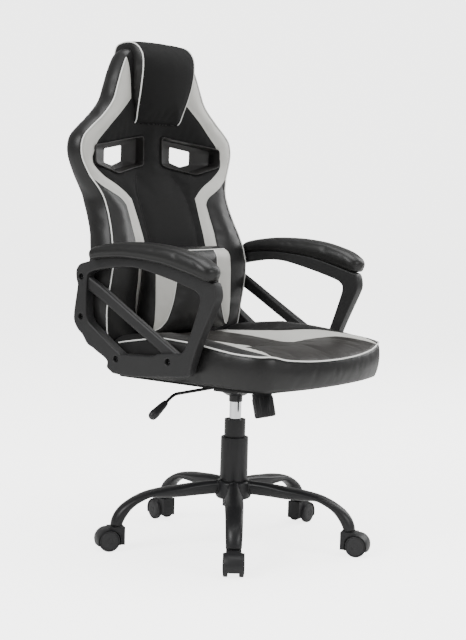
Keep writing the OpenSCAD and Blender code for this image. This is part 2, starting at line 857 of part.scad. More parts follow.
// Top line of an arm frame, which its pad sits on, from front to rear
arm_top = [[-150, 240], [-92, 253], [-39, 265], [30, 274], [104, 277], [193, 268]];
arm_front = [[-167, 213], [-163, 193], [-140, 153], [-114, 102], [-95, 58], [-88, 27]];
arm_foot = [[-30, 20], [65, 12], [127, 13], [142, 18], [153, 26], [152, 42], [185, 60], [196, 66], [213, 73]];
arm_heel = [[228, 93], [243, 105], [255, 123], [256, 141], [253, 163], [246, 205], [248, 215], [251, 228], [250, 243],
    [240, 255], [222, 261]];
upper_loop = [
    [217, 230], [209, 244], [193, 251], [150, 258], [117, 260], [59, 258], [-24, 240], [-92, 223], [-111, 213],
    [-117, 200], [-109, 171], [-83, 100], [-74, 83], [-60, 75], [-48, 78], [-36, 89], [168, 209], [205, 222]
];
lower_loop = [
    [203, 184], [213, 173], [217, 145], [212, 128], [199, 117], [118, 64], [98, 59], [22, 61], [14, 67], [20, 81],
    [167, 166], [190, 181]
];

module arm_frame() {
    color("#1f1f21")
    difference() {
        on_seat() side_plate(arm_x, arm_x + arm_t) difference() {
            polygon(concat(arm_top, [for (i = [len(arm_heel) - 1 : -1 : 0]) arm_heel[i]],
                [for (i = [len(arm_foot) - 1 : -1 : 0]) arm_foot[i]], [for (i = [len(arm_front) - 1 : -1 : 0]) arm_front[i]]));
            polygon(upper_loop);
            polygon(lower_loop);
        }
        arm_bolt_holes();
    }
}

module arm_bolt_holes() {
    for (p = concat(seat_bolt_spots, back_bolt_spots)) on_seat() translate([arm_x, p[0], p[1]]) {
        bar_x(-1, arm_t + 1, arm_bolt_d + 2 * bolt_gap);
        bar_x(arm_t - head_depth, arm_t + 1, head_d + 1);
    }
}

module arm_pad() {
    color("#19191a")
    on_seat() side_plate(pad_x, pad_x + pad_w) polygon(concat(
        [for (p = arm_top) p],
        [[202, 273], [200, 290], [188, 302], [140, 313], [47, 320], [-54, 313], [-123, 295], [-160, 275], [-170, 262],
            [-166, 248]]
    ));
}

module arm_bolts() {
    reach = 34;
    shank = arm_t - head_depth + reach;
    color("#2c2c2e")
    on_seat() both_sides() for (p = concat(seat_bolt_spots, back_bolt_spots))
        translate([arm_x + arm_t - head_depth, p[0], p[1]]) {
            bar_x(-shank, 0, arm_bolt_d);
            bar_x(0, 5, head_d);
        }
}

// Drawing -------------------------------------------------------------------------------------

base_hub();
leg(0);  // leg_1
leg(1);  // leg_2
leg(2);  // leg_3
leg(3);  // leg_4
leg(4);  // leg_5
leg_sockets();
column_tube();
column_cover();
guide_bush();
thrust_bearing();
piston_rod();
rod_clip();
pressure_tube();
rod_seal();
valve_pin();
mechanism_housing();
tilt_pin();
tension_spring();
tension_bolt();
tension_knob();
lever_bush();
lever_rod();
lever_grip();
caster_hood(0);  // caster_hood_1
caster_hood(1);  // caster_hood_2
caster_hood(2);  // caster_hood_3
caster_hood(3);  // caster_hood_4
caster_hood(4);  // caster_hood_5
caster_pins(0);  // caster_pins_1
caster_pins(1);  // caster_pins_2
caster_pins(2);  // caster_pins_3
caster_pins(3);  // caster_pins_4
caster_pins(4);  // caster_pins_5
wheel(0, 1);  // wheel_a_1
wheel(1, 1);  // wheel_a_2
wheel(2, 1);  // wheel_a_3
wheel(3, 1);  // wheel_a_4
wheel(4, 1);  // wheel_a_5
wheel(0, -1);  // wheel_b_1
wheel(1, -1);  // wheel_b_2
wheel(2, -1);  // wheel_b_3
wheel(3, -1);  // wheel_b_4
wheel(4, -1);  // wheel_b_5
seat_plate();
seat_bolts();
dust_cover();
seat_frame();
seat_cushion();
back_frame();
back_cushion();
vent(1);  // vent_left
vent(-1);  // vent_right
lumbar_cushion();
head_cushion();
arm_frame();  // arm_left
mirror([1, 0, 0]) arm_frame();  // arm_right
arm_pad();  // pad_left
mirror([1, 0, 0]) arm_pad();  // pad_right
arm_bolts();
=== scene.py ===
# A racing-style office chair: five-leg steel base on casters, gas lift, tilt mechanism, upholstered seat,
# winged back with two openings, head and lumbar cushions, and two looped arms with leather pads.
import bmesh
import bpy
import math
import numpy as np
from mathutils import Matrix, Quaternion, Vector, geometry
from mathutils.bvhtree import BVHTree
from mathutils.kdtree import KDTree


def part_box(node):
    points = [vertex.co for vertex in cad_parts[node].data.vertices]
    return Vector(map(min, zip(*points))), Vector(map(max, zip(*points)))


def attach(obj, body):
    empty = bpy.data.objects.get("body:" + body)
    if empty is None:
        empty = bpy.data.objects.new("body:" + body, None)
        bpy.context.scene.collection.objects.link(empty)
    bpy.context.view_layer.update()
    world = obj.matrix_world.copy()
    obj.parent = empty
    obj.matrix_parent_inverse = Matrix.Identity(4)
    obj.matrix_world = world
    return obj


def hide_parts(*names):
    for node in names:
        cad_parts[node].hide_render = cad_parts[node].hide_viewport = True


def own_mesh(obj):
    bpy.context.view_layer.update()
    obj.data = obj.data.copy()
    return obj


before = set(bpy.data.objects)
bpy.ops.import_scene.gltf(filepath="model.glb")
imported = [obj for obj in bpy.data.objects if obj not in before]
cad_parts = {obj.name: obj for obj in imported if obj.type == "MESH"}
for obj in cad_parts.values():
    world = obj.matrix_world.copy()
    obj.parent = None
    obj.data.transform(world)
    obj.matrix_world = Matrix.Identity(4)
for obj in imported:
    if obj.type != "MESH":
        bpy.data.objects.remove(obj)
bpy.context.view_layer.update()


def new_object(name, data):
    """A new object in the scene."""
    made = bpy.data.objects.new(name, data)
    bpy.context.scene.collection.objects.link(made)
    return made


def wire(tree, *links):
    """Joins nodes: each link is a source node and its output, then a target node and its input."""
    for source, out, target, into in links:
        tree.links.new(source.outputs[out], target.inputs[into])


# ---------------------------------------------------------------------------------------------
# Studio
# A seamless pale sheet that curves up behind the chair, lit by large soft panels. The lens stands
# 3.6 m away, to the right of the chair's front and a little above its seat.

sheet_points = []
sheet_faces = []
sheet_curve = [(-12.0, 0.0), (9.0, 0.0)] + [
    (9.0 + 1.2 * math.sin(math.radians(a)), 1.2 - 1.2 * math.cos(math.radians(a))) for a in range(10, 91, 10)
] + [(10.2, 9.0)]
sheet_half_width = 14.0
sheet_way = Vector((0.7943, 0.6075, 0))
sheet_side = Vector((0.6075, -0.7943, 0))
for along, up in sheet_curve:
    for across in (-sheet_half_width, sheet_half_width):
        sheet_points.append(sheet_way * along + sheet_side * across + Vector((0, 0, up)))
for i in range(len(sheet_curve) - 1):
    sheet_faces.append((2 * i, 2 * i + 1, 2 * i + 3, 2 * i + 2))
sheet_mesh = bpy.data.meshes.new("studio_sheet")
sheet_mesh.from_pydata(sheet_points, [], sheet_faces)
sheet_mesh.polygons.foreach_set("use_smooth", [True] * len(sheet_faces))
studio_sheet = new_object("studio_sheet", sheet_mesh)

paper = bpy.data.materials.new("white_paper")
paper.use_nodes = True
paper_shader = paper.node_tree.nodes["Principled BSDF"]
paper_shader.inputs["Base Color"].default_value = (0.93, 0.93, 0.92, 1)
paper_shader.inputs["Roughness"].default_value = 0.9
paper_shader.inputs["Specular IOR Level"].default_value = 0.1
paper_shader.inputs["Emission Color"].default_value = (1, 1, 0.99, 1)
paper_tree = paper.node_tree
seen_direct = paper_tree.nodes.new("ShaderNodeLightPath")
paper_glow = paper_tree.nodes.new("ShaderNodeMapRange")
paper_glow.inputs["To Min"].default_value = 0.12
paper_glow.inputs["To Max"].default_value = 3.4
wire(
    paper_tree,
    (seen_direct, "Is Camera Ray", paper_glow, "Value"), (paper_glow, "Result", paper_shader, "Emission Strength"),
)
sheet_mesh.materials.append(paper)

world = bpy.data.worlds.new("studio")
bpy.context.scene.world = world
world.use_nodes = True
world.node_tree.nodes["Background"].inputs["Color"].default_value = (1.0, 1.0, 1.0, 1)
world_seen = world.node_tree.nodes.new("ShaderNodeLightPath")
world_glow = world.node_tree.nodes.new("ShaderNodeMapRange")
world_glow.inputs["To Min"].default_value = 0.30
world_glow.inputs["To Max"].default_value = 3.9
wire(
    world.node_tree,
    (world_seen, "Is Camera Ray", world_glow, "Value"),
    (world_glow, "Result", world.node_tree.nodes["Background"], "Strength"),
)


def soft_panel(name, place, aim, width, height, power):
    lamp = bpy.data.lights.new(name, "AREA")
    lamp.shape = "RECTANGLE"
    lamp.size = width
    lamp.size_y = height
    lamp.energy = power
    holder = bpy.data.objects.new(name, lamp)
    holder.location = place
    holder.rotation_mode = "QUATERNION"
    holder.rotation_quaternion = (Vector(aim) - Vector(place)).to_track_quat("-Z", "Y")
    bpy.context.scene.collection.objects.link(holder)
    return holder


soft_panel("key_panel", (-3.4, 0.6, 2.9), (0, 0, 0.7), 2.0, 2.0, 130)
soft_panel("front_panel", (0.4, -4.2, 2.2), (0, 0, 0.6), 2.2, 1.4, 75)
soft_panel("top_panel", (0.3, -0.2, 3.6), (0, 0, 0.5), 2.4, 2.4, 100)
soft_panel("far_panel", (3.0, -0.6, 2.0), (0, 0, 0.8), 1.2, 2.4, 45)

lens = bpy.data.cameras.new("lens")
lens.lens = 85.575
lens.sensor_width = 36.0
lens.shift_x = -0.0074
lens.clip_start = 0.1
lens.clip_end = 100
camera = bpy.data.objects.new("camera", lens)
tilt_down = math.radians(5.5854)
look = Vector((0.79428 * math.cos(tilt_down), 0.60756 * math.cos(tilt_down), -math.sin(tilt_down)))
camera.location = (-2.8312, -2.1654, 0.88347)
camera.rotation_mode = "QUATERNION"
camera.rotation_quaternion = look.to_track_quat("-Z", "Y") @ Quaternion((0, 0, 1), math.radians(1.55346))
bpy.context.scene.collection.objects.link(camera)
bpy.context.scene.camera = camera

# ---------------------------------------------------------------------------------------------
# Base
# Five bent steel tubes, flattened past their bends and welded round a turned hub, with a stem socket
# pressed into each tip. All of it is powder-coated black.


def piece(name, points, faces, finishes=(), panel=None, smooth=True):
    mesh = bpy.data.meshes.new(name)
    mesh.from_pydata([tuple(p) for p in points], [], [tuple(f) for f in faces])
    for finish in finishes:
        mesh.materials.append(finish)
    if panel is not None:
        mesh.polygons.foreach_set("material_index", list(panel))
    if smooth:
        mesh.polygons.foreach_set("use_smooth", [True] * len(mesh.polygons))
    mesh.update()
    made = new_object(name, mesh)
    return made


def place_node(tree, kind, values=None, **settings):
    made = tree.nodes.new(kind)
    for key, value in settings.items():
        setattr(made, key, value)
    for key, value in (values or {}).items():
        made.inputs[key].default_value = value
    return made


# A shared effect for all moulded and coated surfaces: fine surface texture and slow tone changes.
grain_group = bpy.data.node_groups.new("surface_grain", "ShaderNodeTree")
for label, start in (("Grain per Metre", 900.0), ("Softness", 0.5), ("Cloud per Metre", 9.0)):
    grain_group.interface.new_socket(label, in_out="INPUT", socket_type="NodeSocketFloat").default_value = start
for label in ("Height", "Cloud"):
    grain_group.interface.new_socket(label, in_out="OUTPUT", socket_type="NodeSocketFloat")
gi = place_node(grain_group, "NodeGroupInput")
go = place_node(grain_group, "NodeGroupOutput")
g_place = place_node(grain_group, "ShaderNodeTexCoord")
g_fine = place_node(grain_group, "ShaderNodeTexNoise", {"Detail": 3.0})
g_cloud = place_node(grain_group, "ShaderNodeTexNoise", {"Detail": 4.0, "Roughness": 0.6})
for texture, size in ((g_fine, "Grain per Metre"), (g_cloud, "Cloud per Metre")):
    wire(grain_group, (g_place, "Object", texture, "Vector"), (gi, size, texture, "Scale"))
wire(
    grain_group,
    (gi, "Softness", g_fine, "Roughness"), (g_fine, "Fac", go, "Height"), (g_cloud, "Fac", go, "Cloud"),
)


def textured(name, group, texture_values, slow, tones, rough_ends, strength, depth, shader_values):
    """A material whose tone and roughness follow the group's slow output, with a bump from its Height output."""
    material = bpy.data.materials.new(name)
    material.use_nodes = True
    tree = material.node_tree
    shader = tree.nodes["Principled BSDF"]
    for label, value in shader_values.items():
        shader.inputs[label].default_value = value
    texture = place_node(tree, "ShaderNodeGroup", texture_values, node_tree=group)
    color = place_node(tree, "ShaderNodeMix", {"A": (*tones[0], 1), "B": (*tones[1], 1)}, data_type="RGBA")
    spread = place_node(tree, "ShaderNodeMapRange", {"To Min": rough_ends[0], "To Max": rough_ends[1]})
    bump = place_node(tree, "ShaderNodeBump", {"Strength": strength, "Distance": depth})
    wire(
        tree,
        (texture, slow, color, "Factor"), (color, "Result", shader, "Base Color"),
        (texture, slow, spread, "Value"), (spread, "Result", shader, "Roughness"),
        (texture, "Height", bump, "Height"), (bump, "Normal", shader, "Normal"),
    )
    return material


def grained(name, tone, light_tone, rough, rough_spread, grain, depth, cloud=9.0, metallic=0.0, coat=0.0):
    """A coated or moulded surface: base tone, its lighter tone, roughness and its spread, texture per metre
    and its depth."""
    return textured(
        name, grain_group, {"Grain per Metre": grain, "Cloud per Metre": cloud}, "Cloud", (tone, light_tone),
        (rough - rough_spread, rough + rough_spread), 0.5, depth,
        {"Metallic": metallic, "Coat Weight": coat, "Coat Roughness": 0.25,
            "Specular IOR Level": 0.5 if metallic else 0.3},
    )


powder_coat = grained("black_powder_coat", (0.012, 0.012, 0.013), (0.022, 0.022, 0.023), 0.36, 0.05, 700.0, 0.0002)


def smooth_line(points, step, closed=False):
    """Even points along a smooth curve through the given ones."""
    p = np.array(points, float)
    n = len(p)
    if closed:
        ring = np.vstack([p[-1], p, p[0], p[1]])
        spans = n
    else:
        ring = np.vstack([2 * p[0] - p[1], p, 2 * p[-1] - p[-2]])
        spans = n - 1
    dense = []
    for i in range(spans):
        a, b, c, d = ring[i], ring[i + 1], ring[i + 2], ring[i + 3]
        for t in np.linspace(0, 1, 16, endpoint=False):
            square, cube = 2 * a - 5 * b + 4 * c - d, 3 * b - 3 * c + d - a
            dense.append(0.5 * (2 * b + (c - a) * t + square * t * t + cube * t ** 3))
    dense.append(p[0] if closed else p[-1])
    dense = np.array(dense)
    run = np.concatenate([[0], np.cumsum(np.linalg.norm(np.diff(dense, axis=0), axis=1))])
    count = max(2, int(round(run[-1] / step)))
    at = np.linspace(0, run[-1], count + 1)
    even = np.stack([np.interp(at, run, dense[:, k]) for k in range(dense.shape[1])], axis=1)
    return even[:-1] if closed else even


def skin(rings, close_ends=True):
    """Faces over a list of rings that all have the same number of points."""
    n, m = len(rings), len(rings[0])
    points = [p for ring in rings for p in ring]
    faces = [
        (i * m + k, i * m + (k + 1) % m, (i + 1) * m + (k + 1) % m,
            (i + 1) * m + k) for i in range(n - 1) for k in range(m)
    ]
    if close_ends:
        faces.append(tuple(range(m - 1, -1, -1)))
        faces.append(tuple((n - 1) * m + k for k in range(m)))
    return points, faces


def outward(obj):
    mesh = bmesh.new()
    mesh.from_mesh(obj.data)
    bmesh.ops.recalc_face_normals(mesh, faces=mesh.faces)
    mesh.to_mesh(obj.data)
    mesh.free()
    return obj


def geometry_tree(name, sockets):
    """An empty geometry node tree with the named inputs; returns the tree, its input node and its output node."""
    tree = bpy.data.node_groups.new(name, "GeometryNodeTree")
    tree.interface.new_socket("Geometry", in_out="INPUT", socket_type="NodeSocketGeometry")
    for label, kind, start in sockets:
        socket = tree.interface.new_socket(label, in_out="INPUT", socket_type=kind)
        if start is not None:
            socket.default_value = start
    tree.interface.new_socket("Geometry", in_out="OUTPUT", socket_type="NodeSocketGeometry")
    return tree, place_node(tree, "NodeGroupInput"), place_node(tree, "NodeGroupOutput")


def grow(obj, tree, **values):
    """Runs a geometry node tree on the object and keeps the result as its plain mesh."""
    run = obj.modifiers.new(tree.name, "NODES")
    run.node_group = tree
    for item in tree.interface.items_tree:
        if item.item_type == "SOCKET" and item.in_out == "INPUT" and item.name.replace(" ", "_") in values:
            run[item.identifier] = values[item.name.replace(" ", "_")]
    bpy.context.view_layer.update()
    seen = bpy.context.evaluated_depsgraph_get()
    made = bpy.data.meshes.new_from_object(obj.evaluated_get(seen))
    obj.modifiers.remove(run)
    made.name = obj.name
    obj.data = made
    return obj


leg_angle = math.radians(218.37)
stem_radius = 0.285
leg_width = 0.043
leg_sides = 32
bead_radius = 0.0022
hub_radius = 0.042
leg_rings = [
    ((34, 122), (34, 154), 0.56, 0.30), ((62, 121), (62, 153.5), 0.60, 0.32), ((95, 119.5), (95, 151.5), 0.74, 0.34),
    ((130, 117.5), (130, 147.5), 0.95, 0.34), ((160, 117.5), (161, 144.5), 1.00, 0.30),
    ((186, 118.5), (190, 140), 1.00, 0.24),
    ((206, 119), (215, 134.5), 0.98, 0.10), ((224, 112), (238, 126), 0.95, 0.04), ((240, 103), (258, 115.5), 0.93, 0.0),
    ((252, 92), (277, 102), 0.91, 0.0), ((261, 80), (290, 86), 0.89, 0.0), ((268, 68), (297, 70), 0.86, 0.0),
    ((271.5, 58.5), (299, 58.5), 0.84, 0.0),
]
leg_table = np.array([[*low, *high, half, pinch] for low, high, half, pinch in leg_rings])
share_scale = 30
leg_line = smooth_line(leg_table / ([1000] * 4 + [share_scale] * 2), 0.006) * ([1] * 4 + [share_scale] * 2)
one_leg = []
for low_r, low_z, high_r, high_z, half, pinch in leg_line:
    ring = []
    for k in range(leg_sides):
        a = 2 * math.pi * k / leg_sides
        s = math.sin(a)
        wide = half * leg_width / 2 * math.cos(a) * (1 + pinch * s if s < 0 else 1)
        lift = 0.5 + 0.5 * (pinch + s * ((1 + pinch) if s < 0 else (1 - pinch)))
        ring.append((low_r + (high_r - low_r) * lift, wide, low_z + (high_z - low_z) * lift))
    one_leg.append(ring)
leg_points, leg_faces = skin(one_leg)

# The weld bead where a leg meets the hub
bead = []
for k in range(40):
    a = 2 * math.pi * k / 40
    s = math.sin(a)
    wide = 0.58 * leg_width / 2 * math.cos(a) * (1 + 0.3 * s if s < 0 else 1)
    z = 0.1375 + 0.0165 * s
    foot = Vector((math.sqrt(hub_radius ** 2 - wide ** 2), wide, z))
    bead.append([
        foot + Vector((math.cos(b), math.sin(b) * math.cos(a), math.sin(b) * s))
        * bead_radius * (1 + 0.12 * math.sin(9 * a)) for b in [2 * math.pi * j / 8 for j in range(8)]
    ])
bead_points, bead_faces = skin(bead + [bead[0]], False)
shift = len(leg_points)
leg_seed = piece(
    "steel_legs", leg_points + bead_points, leg_faces + [tuple(i + shift for i in f) for f in bead_faces]
)
outward(leg_seed)

leg_ring, ring_in, ring_out = geometry_tree(
    "leg_ring", [("Legs", "NodeSocketInt", 5), ("First Angle", "NodeSocketFloat", 0.0),
        ("Coat", "NodeSocketMaterial", None)]
)
ring_spots = place_node(leg_ring, "GeometryNodeMeshCircle", {"Radius": 0.0})
ring_turn = place_node(leg_ring, "ShaderNodeMath", {1: 2 * math.pi / 5}, operation="MULTIPLY")
ring_index = place_node(leg_ring, "GeometryNodeInputIndex")
ring_start = place_node(leg_ring, "ShaderNodeMath", operation="ADD")
ring_way = place_node(leg_ring, "ShaderNodeCombineXYZ")
ring_centre = place_node(leg_ring, "GeometryNodeSetPosition", {"Position": (0, 0, 0)})
ring_copy = place_node(leg_ring, "GeometryNodeInstanceOnPoints")
ring_real = place_node(leg_ring, "GeometryNodeRealizeInstances")
ring_coat = place_node(leg_ring, "GeometryNodeSetMaterial")
wire(
    leg_ring,
    (ring_in, "Legs", ring_spots, "Vertices"), (ring_index, 0, ring_turn, 0), (ring_turn, 0, ring_start, 0),
    (ring_in, "First Angle", ring_start, 1), (ring_start, 0, ring_way, "Z"),
    (ring_spots, "Mesh", ring_centre, "Geometry"), (ring_centre, "Geometry", ring_copy, "Points"),
    (ring_in, "Geometry", ring_copy, "Instance"), (ring_way, 0, ring_copy, "Rotation"),
    (ring_copy, "Instances", ring_real, "Geometry"), (ring_real, "Geometry", ring_coat, "Geometry"),
    (ring_in, "Coat", ring_coat, "Material"), (ring_coat, "Geometry", ring_out, "Geometry"),
)
grow(leg_seed, leg_ring, Legs=5, First_Angle=leg_angle, Coat=powder_coat)
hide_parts("leg_1", "leg_2", "leg_3", "leg_4", "leg_5")
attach(leg_seed, "base")


def rounded_copy(node, name, finish, width, body, steps=2, merge=0.00002):
    """A copy of a CAD node with its sharp edges eased, as moulding and coating ease them."""
    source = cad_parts[node]
    mesh = source.data.copy()
    mesh.name = name
    made = new_object(name, mesh)
    work = bmesh.new()
    work.from_mesh(mesh)
    bmesh.ops.remove_doubles(work, verts=work.verts, dist=merge)
    bmesh.ops.dissolve_limit(work, angle_limit=math.radians(1.2), verts=work.verts, edges=work.edges)
    work.to_mesh(mesh)
    work.free()
    mesh.materials.clear()
    mesh.materials.append(finish)
    mesh.polygons.foreach_set("use_smooth", [True] * len(mesh.polygons))
    mesh.polygons.foreach_set("material_index", [0] * len(mesh.polygons))
    ease = made.modifiers.new("eased_edges", "BEVEL")
    ease.width = width
    ease.segments = steps
    ease.limit_method = "ANGLE"
    ease.angle_limit = math.radians(35)
    ease.harden_normals = True
    ease.use_clamp_overlap = True
    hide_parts(node)
    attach(made, body)
    return made


def dress(node, finish):
    """Gives a CAD node its finish."""
    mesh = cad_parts[node].data
    mesh.materials.clear()
    mesh.materials.append(finish)
    mesh.polygons.foreach_set("material_index", [0] * len(mesh.polygons))


dress("base_hub", powder_coat)

# ---------------------------------------------------------------------------------------------
# Casters
# Twin-wheel nylon casters: a moulded hood over two thin wheels, on a steel axle, with a grip-ring stem
# pushed up into the leg. They trail outwards here, and every wheel has a raised rim and a shallow cap.

caster_nylon = grained("caster_nylon", (0.014, 0.014, 0.015), (0.026, 0.026, 0.027), 0.42, 0.06, 900.0, 0.00015)
wheel_nylon = grained("wheel_nylon", (0.020, 0.020, 0.021), (0.034, 0.034, 0.035), 0.50, 0.08, 500.0, 0.0002)
bare_steel = grained("zinc_plated_steel", (0.42, 0.43, 0.44), (0.55, 0.56, 0.57), 0.34, 0.06, 350.0, 0.0001,
    metallic=1.0)


def turned(profile, steps):
    """A solid of revolution about Z from (radius, height) points that run from axis to axis or round a closed ring."""
    return [
        [(r * math.cos(2 * math.pi * k / steps), r * math.sin(2 * math.pi * k / steps), z) for k in range(steps)]
        for r, z in profile
    ]


wheel_radius = 0.025
wheel_gap = 0.025
wheel_side = [
    (3.2, 0.0), (9.0, 0.0), (9.6, 0.8), (14.5, 0.8), (15.1, 0.0), (22.6, 0.0), (23.6, 0.25), (24.5, 0.9),
    (24.95, 1.9), (25.0, 3.2),
    (25.0, 7.6), (24.8, 8.8), (24.2, 9.9), (23.3, 10.6), (22.4, 10.7), (21.9, 10.4), (21.7, 9.7), (21.2, 9.5),
    (20.7, 9.9),
    (20.2, 10.7), (18.8, 11.2), (14.0, 11.7), (8.0, 12.0), (7.4, 11.8), (7.0, 11.4), (6.4, 11.4), (5.8, 11.9),
    (3.0, 12.1),
    (0.3, 12.1),
]
wheel_rings = turned([(r / 1000, z / 1000) for r, z in wheel_side], 72)
wheel_points, wheel_faces = skin(wheel_rings)
for n in range(1, 6):
    direction = leg_angle + (n - 1) * 2 * math.pi / 5
    at_stem = Matrix.Rotation(direction, 4, "Z") @ Matrix.Translation((stem_radius, 0, 0))
    for letter, side, body in (("a", -1, "left_wheel_%d"), ("b", 1, "right_wheel_%d")):
        upright = Matrix.Rotation(math.pi / 2 * (-1 if side > 0 else 1), 4, "X")
        seat = at_stem @ Matrix.Translation((0.020, side * wheel_gap / 2, wheel_radius)) @ upright
        wheel = piece("caster_wheel_%s%d" % (letter, n), [seat @ Vector(p) for p in wheel_points], wheel_faces,
            [wheel_nylon])
        outward(wheel)
        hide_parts("wheel_%s_%d" % (letter, n))
        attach(wheel, body % n)
    hood = rounded_copy("caster_hood_%d" % n, "nylon_hood_%d" % n, caster_nylon, 0.0009, "caster_%d" % n, 3)
    dress("caster_pins_%d" % n, bare_steel)

socket_points, socket_faces = skin(turned([
    (0.0001, 0.0803), (0.0056, 0.0803), (0.0056, 0.058), (0.0109, 0.058), (0.0109, 0.066), (0.0066, 0.0812),
    (0.0001, 0.0818)], 32))
sockets = piece(
    "stem_sockets",
    [Matrix.Rotation(leg_angle + n * 2 * math.pi / 5, 4,
        "Z") @ (Vector(p) + Vector((stem_radius, 0, 0))) for n in range(5) for p in socket_points],
    [tuple(i + n * len(socket_points) for i in face) for n in range(5) for face in socket_faces], [powder_coat])
outward(sockets)
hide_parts("leg_sockets")
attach(sockets, "base")

# ---------------------------------------------------------------------------------------------
# Gas lift
# A coated steel column with a ribbed guide bush in its mouth and a plastic cover round its foot. The
# chromed pressure tube slides in the bush, and its piston rod stands on a thrust bearing below.

chrome = grained("polished_chrome", (0.72, 0.73, 0.75), (0.80, 0.81, 0.83), 0.10, 0.03, 40.0, 0.00002, metallic=1.0)
cover_plastic = grained("column_plastic", (0.013, 0.013, 0.014), (0.022, 0.022, 0.023), 0.40, 0.05, 1100.0, 0.00012)
acetal = grained("black_acetal", (0.016, 0.016, 0.016), (0.024, 0.024, 0.024), 0.35, 0.05, 600.0, 0.00005)
seal_rubber = grained("seal_rubber", (0.010, 0.010, 0.010), (0.018, 0.018, 0.018), 0.70, 0.08, 800.0, 0.0001)
cover = rounded_copy("column_cover", "telescope_cover", cover_plastic, 0.0012, "base", 3)
dress("column_tube", powder_coat)
dress("guide_bush", acetal)
dress("thrust_bearing", bare_steel)
dress("piston_rod", bare_steel)
dress("rod_clip", bare_steel)
dress("pressure_tube", chrome)
dress("rod_seal", seal_rubber)
dress("valve_pin", bare_steel)

# ---------------------------------------------------------------------------------------------
# Mechanism
# A pressed steel tray with a bowl-shaped foot that grips the tube's taper. The seat plate rocks on a pin
# through the tray, against a coil spring inside the fluted tension knob.

tray = rounded_copy("mechanism_housing", "pressed_tray", powder_coat, 0.0008, "mechanism", 2)
plate = rounded_copy("seat_plate", "pressed_seat_plate", powder_coat, 0.0006, "seat", 2)
dress("tilt_pin", bare_steel)
dress("tension_spring", bare_steel)
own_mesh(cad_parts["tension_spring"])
dress("tension_bolt", bare_steel)
dress("seat_bolts", bare_steel)
knob_plastic = grained("knob_plastic", (0.016, 0.016, 0.017), (0.028, 0.028, 0.029), 0.34, 0.05, 900.0, 0.0001)
knob = rounded_copy("tension_knob", "fluted_knob", knob_plastic, 0.0007, "knob", 2)

# ---------------------------------------------------------------------------------------------
# Height lever
# One cranked steel rod, pinned in a bush in the tray's side, with its paddle end over the valve pin
# and a soft drop-shaped grip pushed on its outer end.

lever_tube, tube_in, tube_out = geometry_tree(
    "swept_round", [("Radius", "NodeSocketFloat", 0.004), ("Sides", "NodeSocketInt", 16),
        ("Finish", "NodeSocketMaterial", None)]
)
t_curve = place_node(lever_tube, "GeometryNodeMeshToCurve")
t_section = place_node(lever_tube, "GeometryNodeCurvePrimitiveCircle")
t_sweep = place_node(lever_tube, "GeometryNodeCurveToMesh", {"Fill Caps": True})
t_smooth = place_node(lever_tube, "GeometryNodeSetShadeSmooth")
t_real = place_node(lever_tube, "GeometryNodeRealizeInstances")
t_finish = place_node(lever_tube, "GeometryNodeSetMaterial")
wire(
    lever_tube,
    (tube_in, "Geometry", t_curve, "Mesh"), (tube_in, "Sides", t_section, "Resolution"),
    (tube_in, "Radius", t_section, "Radius"), (t_curve, "Curve", t_sweep, "Curve"),
    (t_section, "Curve", t_sweep, "Profile Curve"), (t_sweep, "Mesh", t_smooth, "Geometry"),
    (t_smooth, "Geometry", t_real, "Geometry"), (t_real, "Geometry", t_finish, "Geometry"),
    (tube_in, "Finish", t_finish, "Material"), (t_finish, "Geometry", tube_out, "Geometry"),
)


def chained(runs, closed=False):
    """The points of one or more lines, and the edges along each of them."""
    points = []
    edges = []
    for run in runs:
        first = len(points)
        points += [tuple(p) for p in run]
        edges += [(first + i, first + i + 1) for i in range(len(run) - 1)]
        if closed:
            edges.append((len(points) - 1, first))
    return points, edges


def loose_lines(name, runs, closed=False):
    points, edges = chained(runs, closed)
    mesh = bpy.data.meshes.new(name)
    mesh.from_pydata(points, edges, [])
    return new_object(name, mesh)


def swept(name, runs, radius, finish, sides=12, closed=False):
    """A round bar, cord or piping along one or more lines of points."""
    return outward(grow(loose_lines(name, runs, closed), lever_tube, Radius=radius, Sides=sides, Finish=finish))


lever_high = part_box("lever_rod")[1]
lever_z = lever_high.z - 0.00375
lever_bend = Vector((-0.209, 0.016, lever_z - 0.002))
grip_way = Vector((-math.cos(math.radians(29.5)), 0, -math.sin(math.radians(29.5))))


def bent(points, radius):
    """The points with every inner corner turned into a short arc."""
    line = [Vector(points[0])]
    for before, corner, after in zip(points, points[1:], points[2:]):
        before, corner, after = Vector(before), Vector(corner), Vector(after)
        start = corner + (before - corner).normalized() * radius
        end = corner + (after - corner).normalized() * radius
        line += [start * (1 - t) ** 2 + corner * 2 * t * (1 - t) + end * t * t for t in [k / 8 for k in range(9)]]
    return line + [Vector(points[-1])]


lever_rod = swept("cranked_lever", [bent([
    (0.004, 0, lever_z), (-0.036, 0.016, lever_z), lever_bend, lever_bend + grip_way * 0.056], 0.013)], 0.00375,
    powder_coat, 20)
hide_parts("lever_rod")
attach(lever_rod, "lever")

grip_plastic = grained("grip_plastic", (0.014, 0.014, 0.015), (0.028, 0.028, 0.029), 0.38, 0.06, 700.0, 0.0001)
grip_profile = smooth_line(
    [(0.0037, 0), (0.0052, 0.0002), (0.0060, 0.0012), (0.0072, 0.006), (0.0082, 0.014), (0.0092, 0.026),
        (0.0102, 0.038), (0.0106, 0.047),
     (0.0100, 0.0535), (0.0078, 0.0578), (0.0045, 0.0598), (0.0003, 0.060)], 0.0012)
grip_points, grip_faces = skin(turned(grip_profile, 40))
grip_seat = Matrix.Translation(lever_bend + grip_way * 0.031) @ grip_way.to_track_quat("Z", "Y").to_matrix().to_4x4()
lever_grip = outward(piece("lever_handgrip", [grip_seat @ Vector(p) for p in grip_points], grip_faces, [grip_plastic]))
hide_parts("lever_grip")
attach(lever_grip, "lever")
dress("lever_bush", acetal)

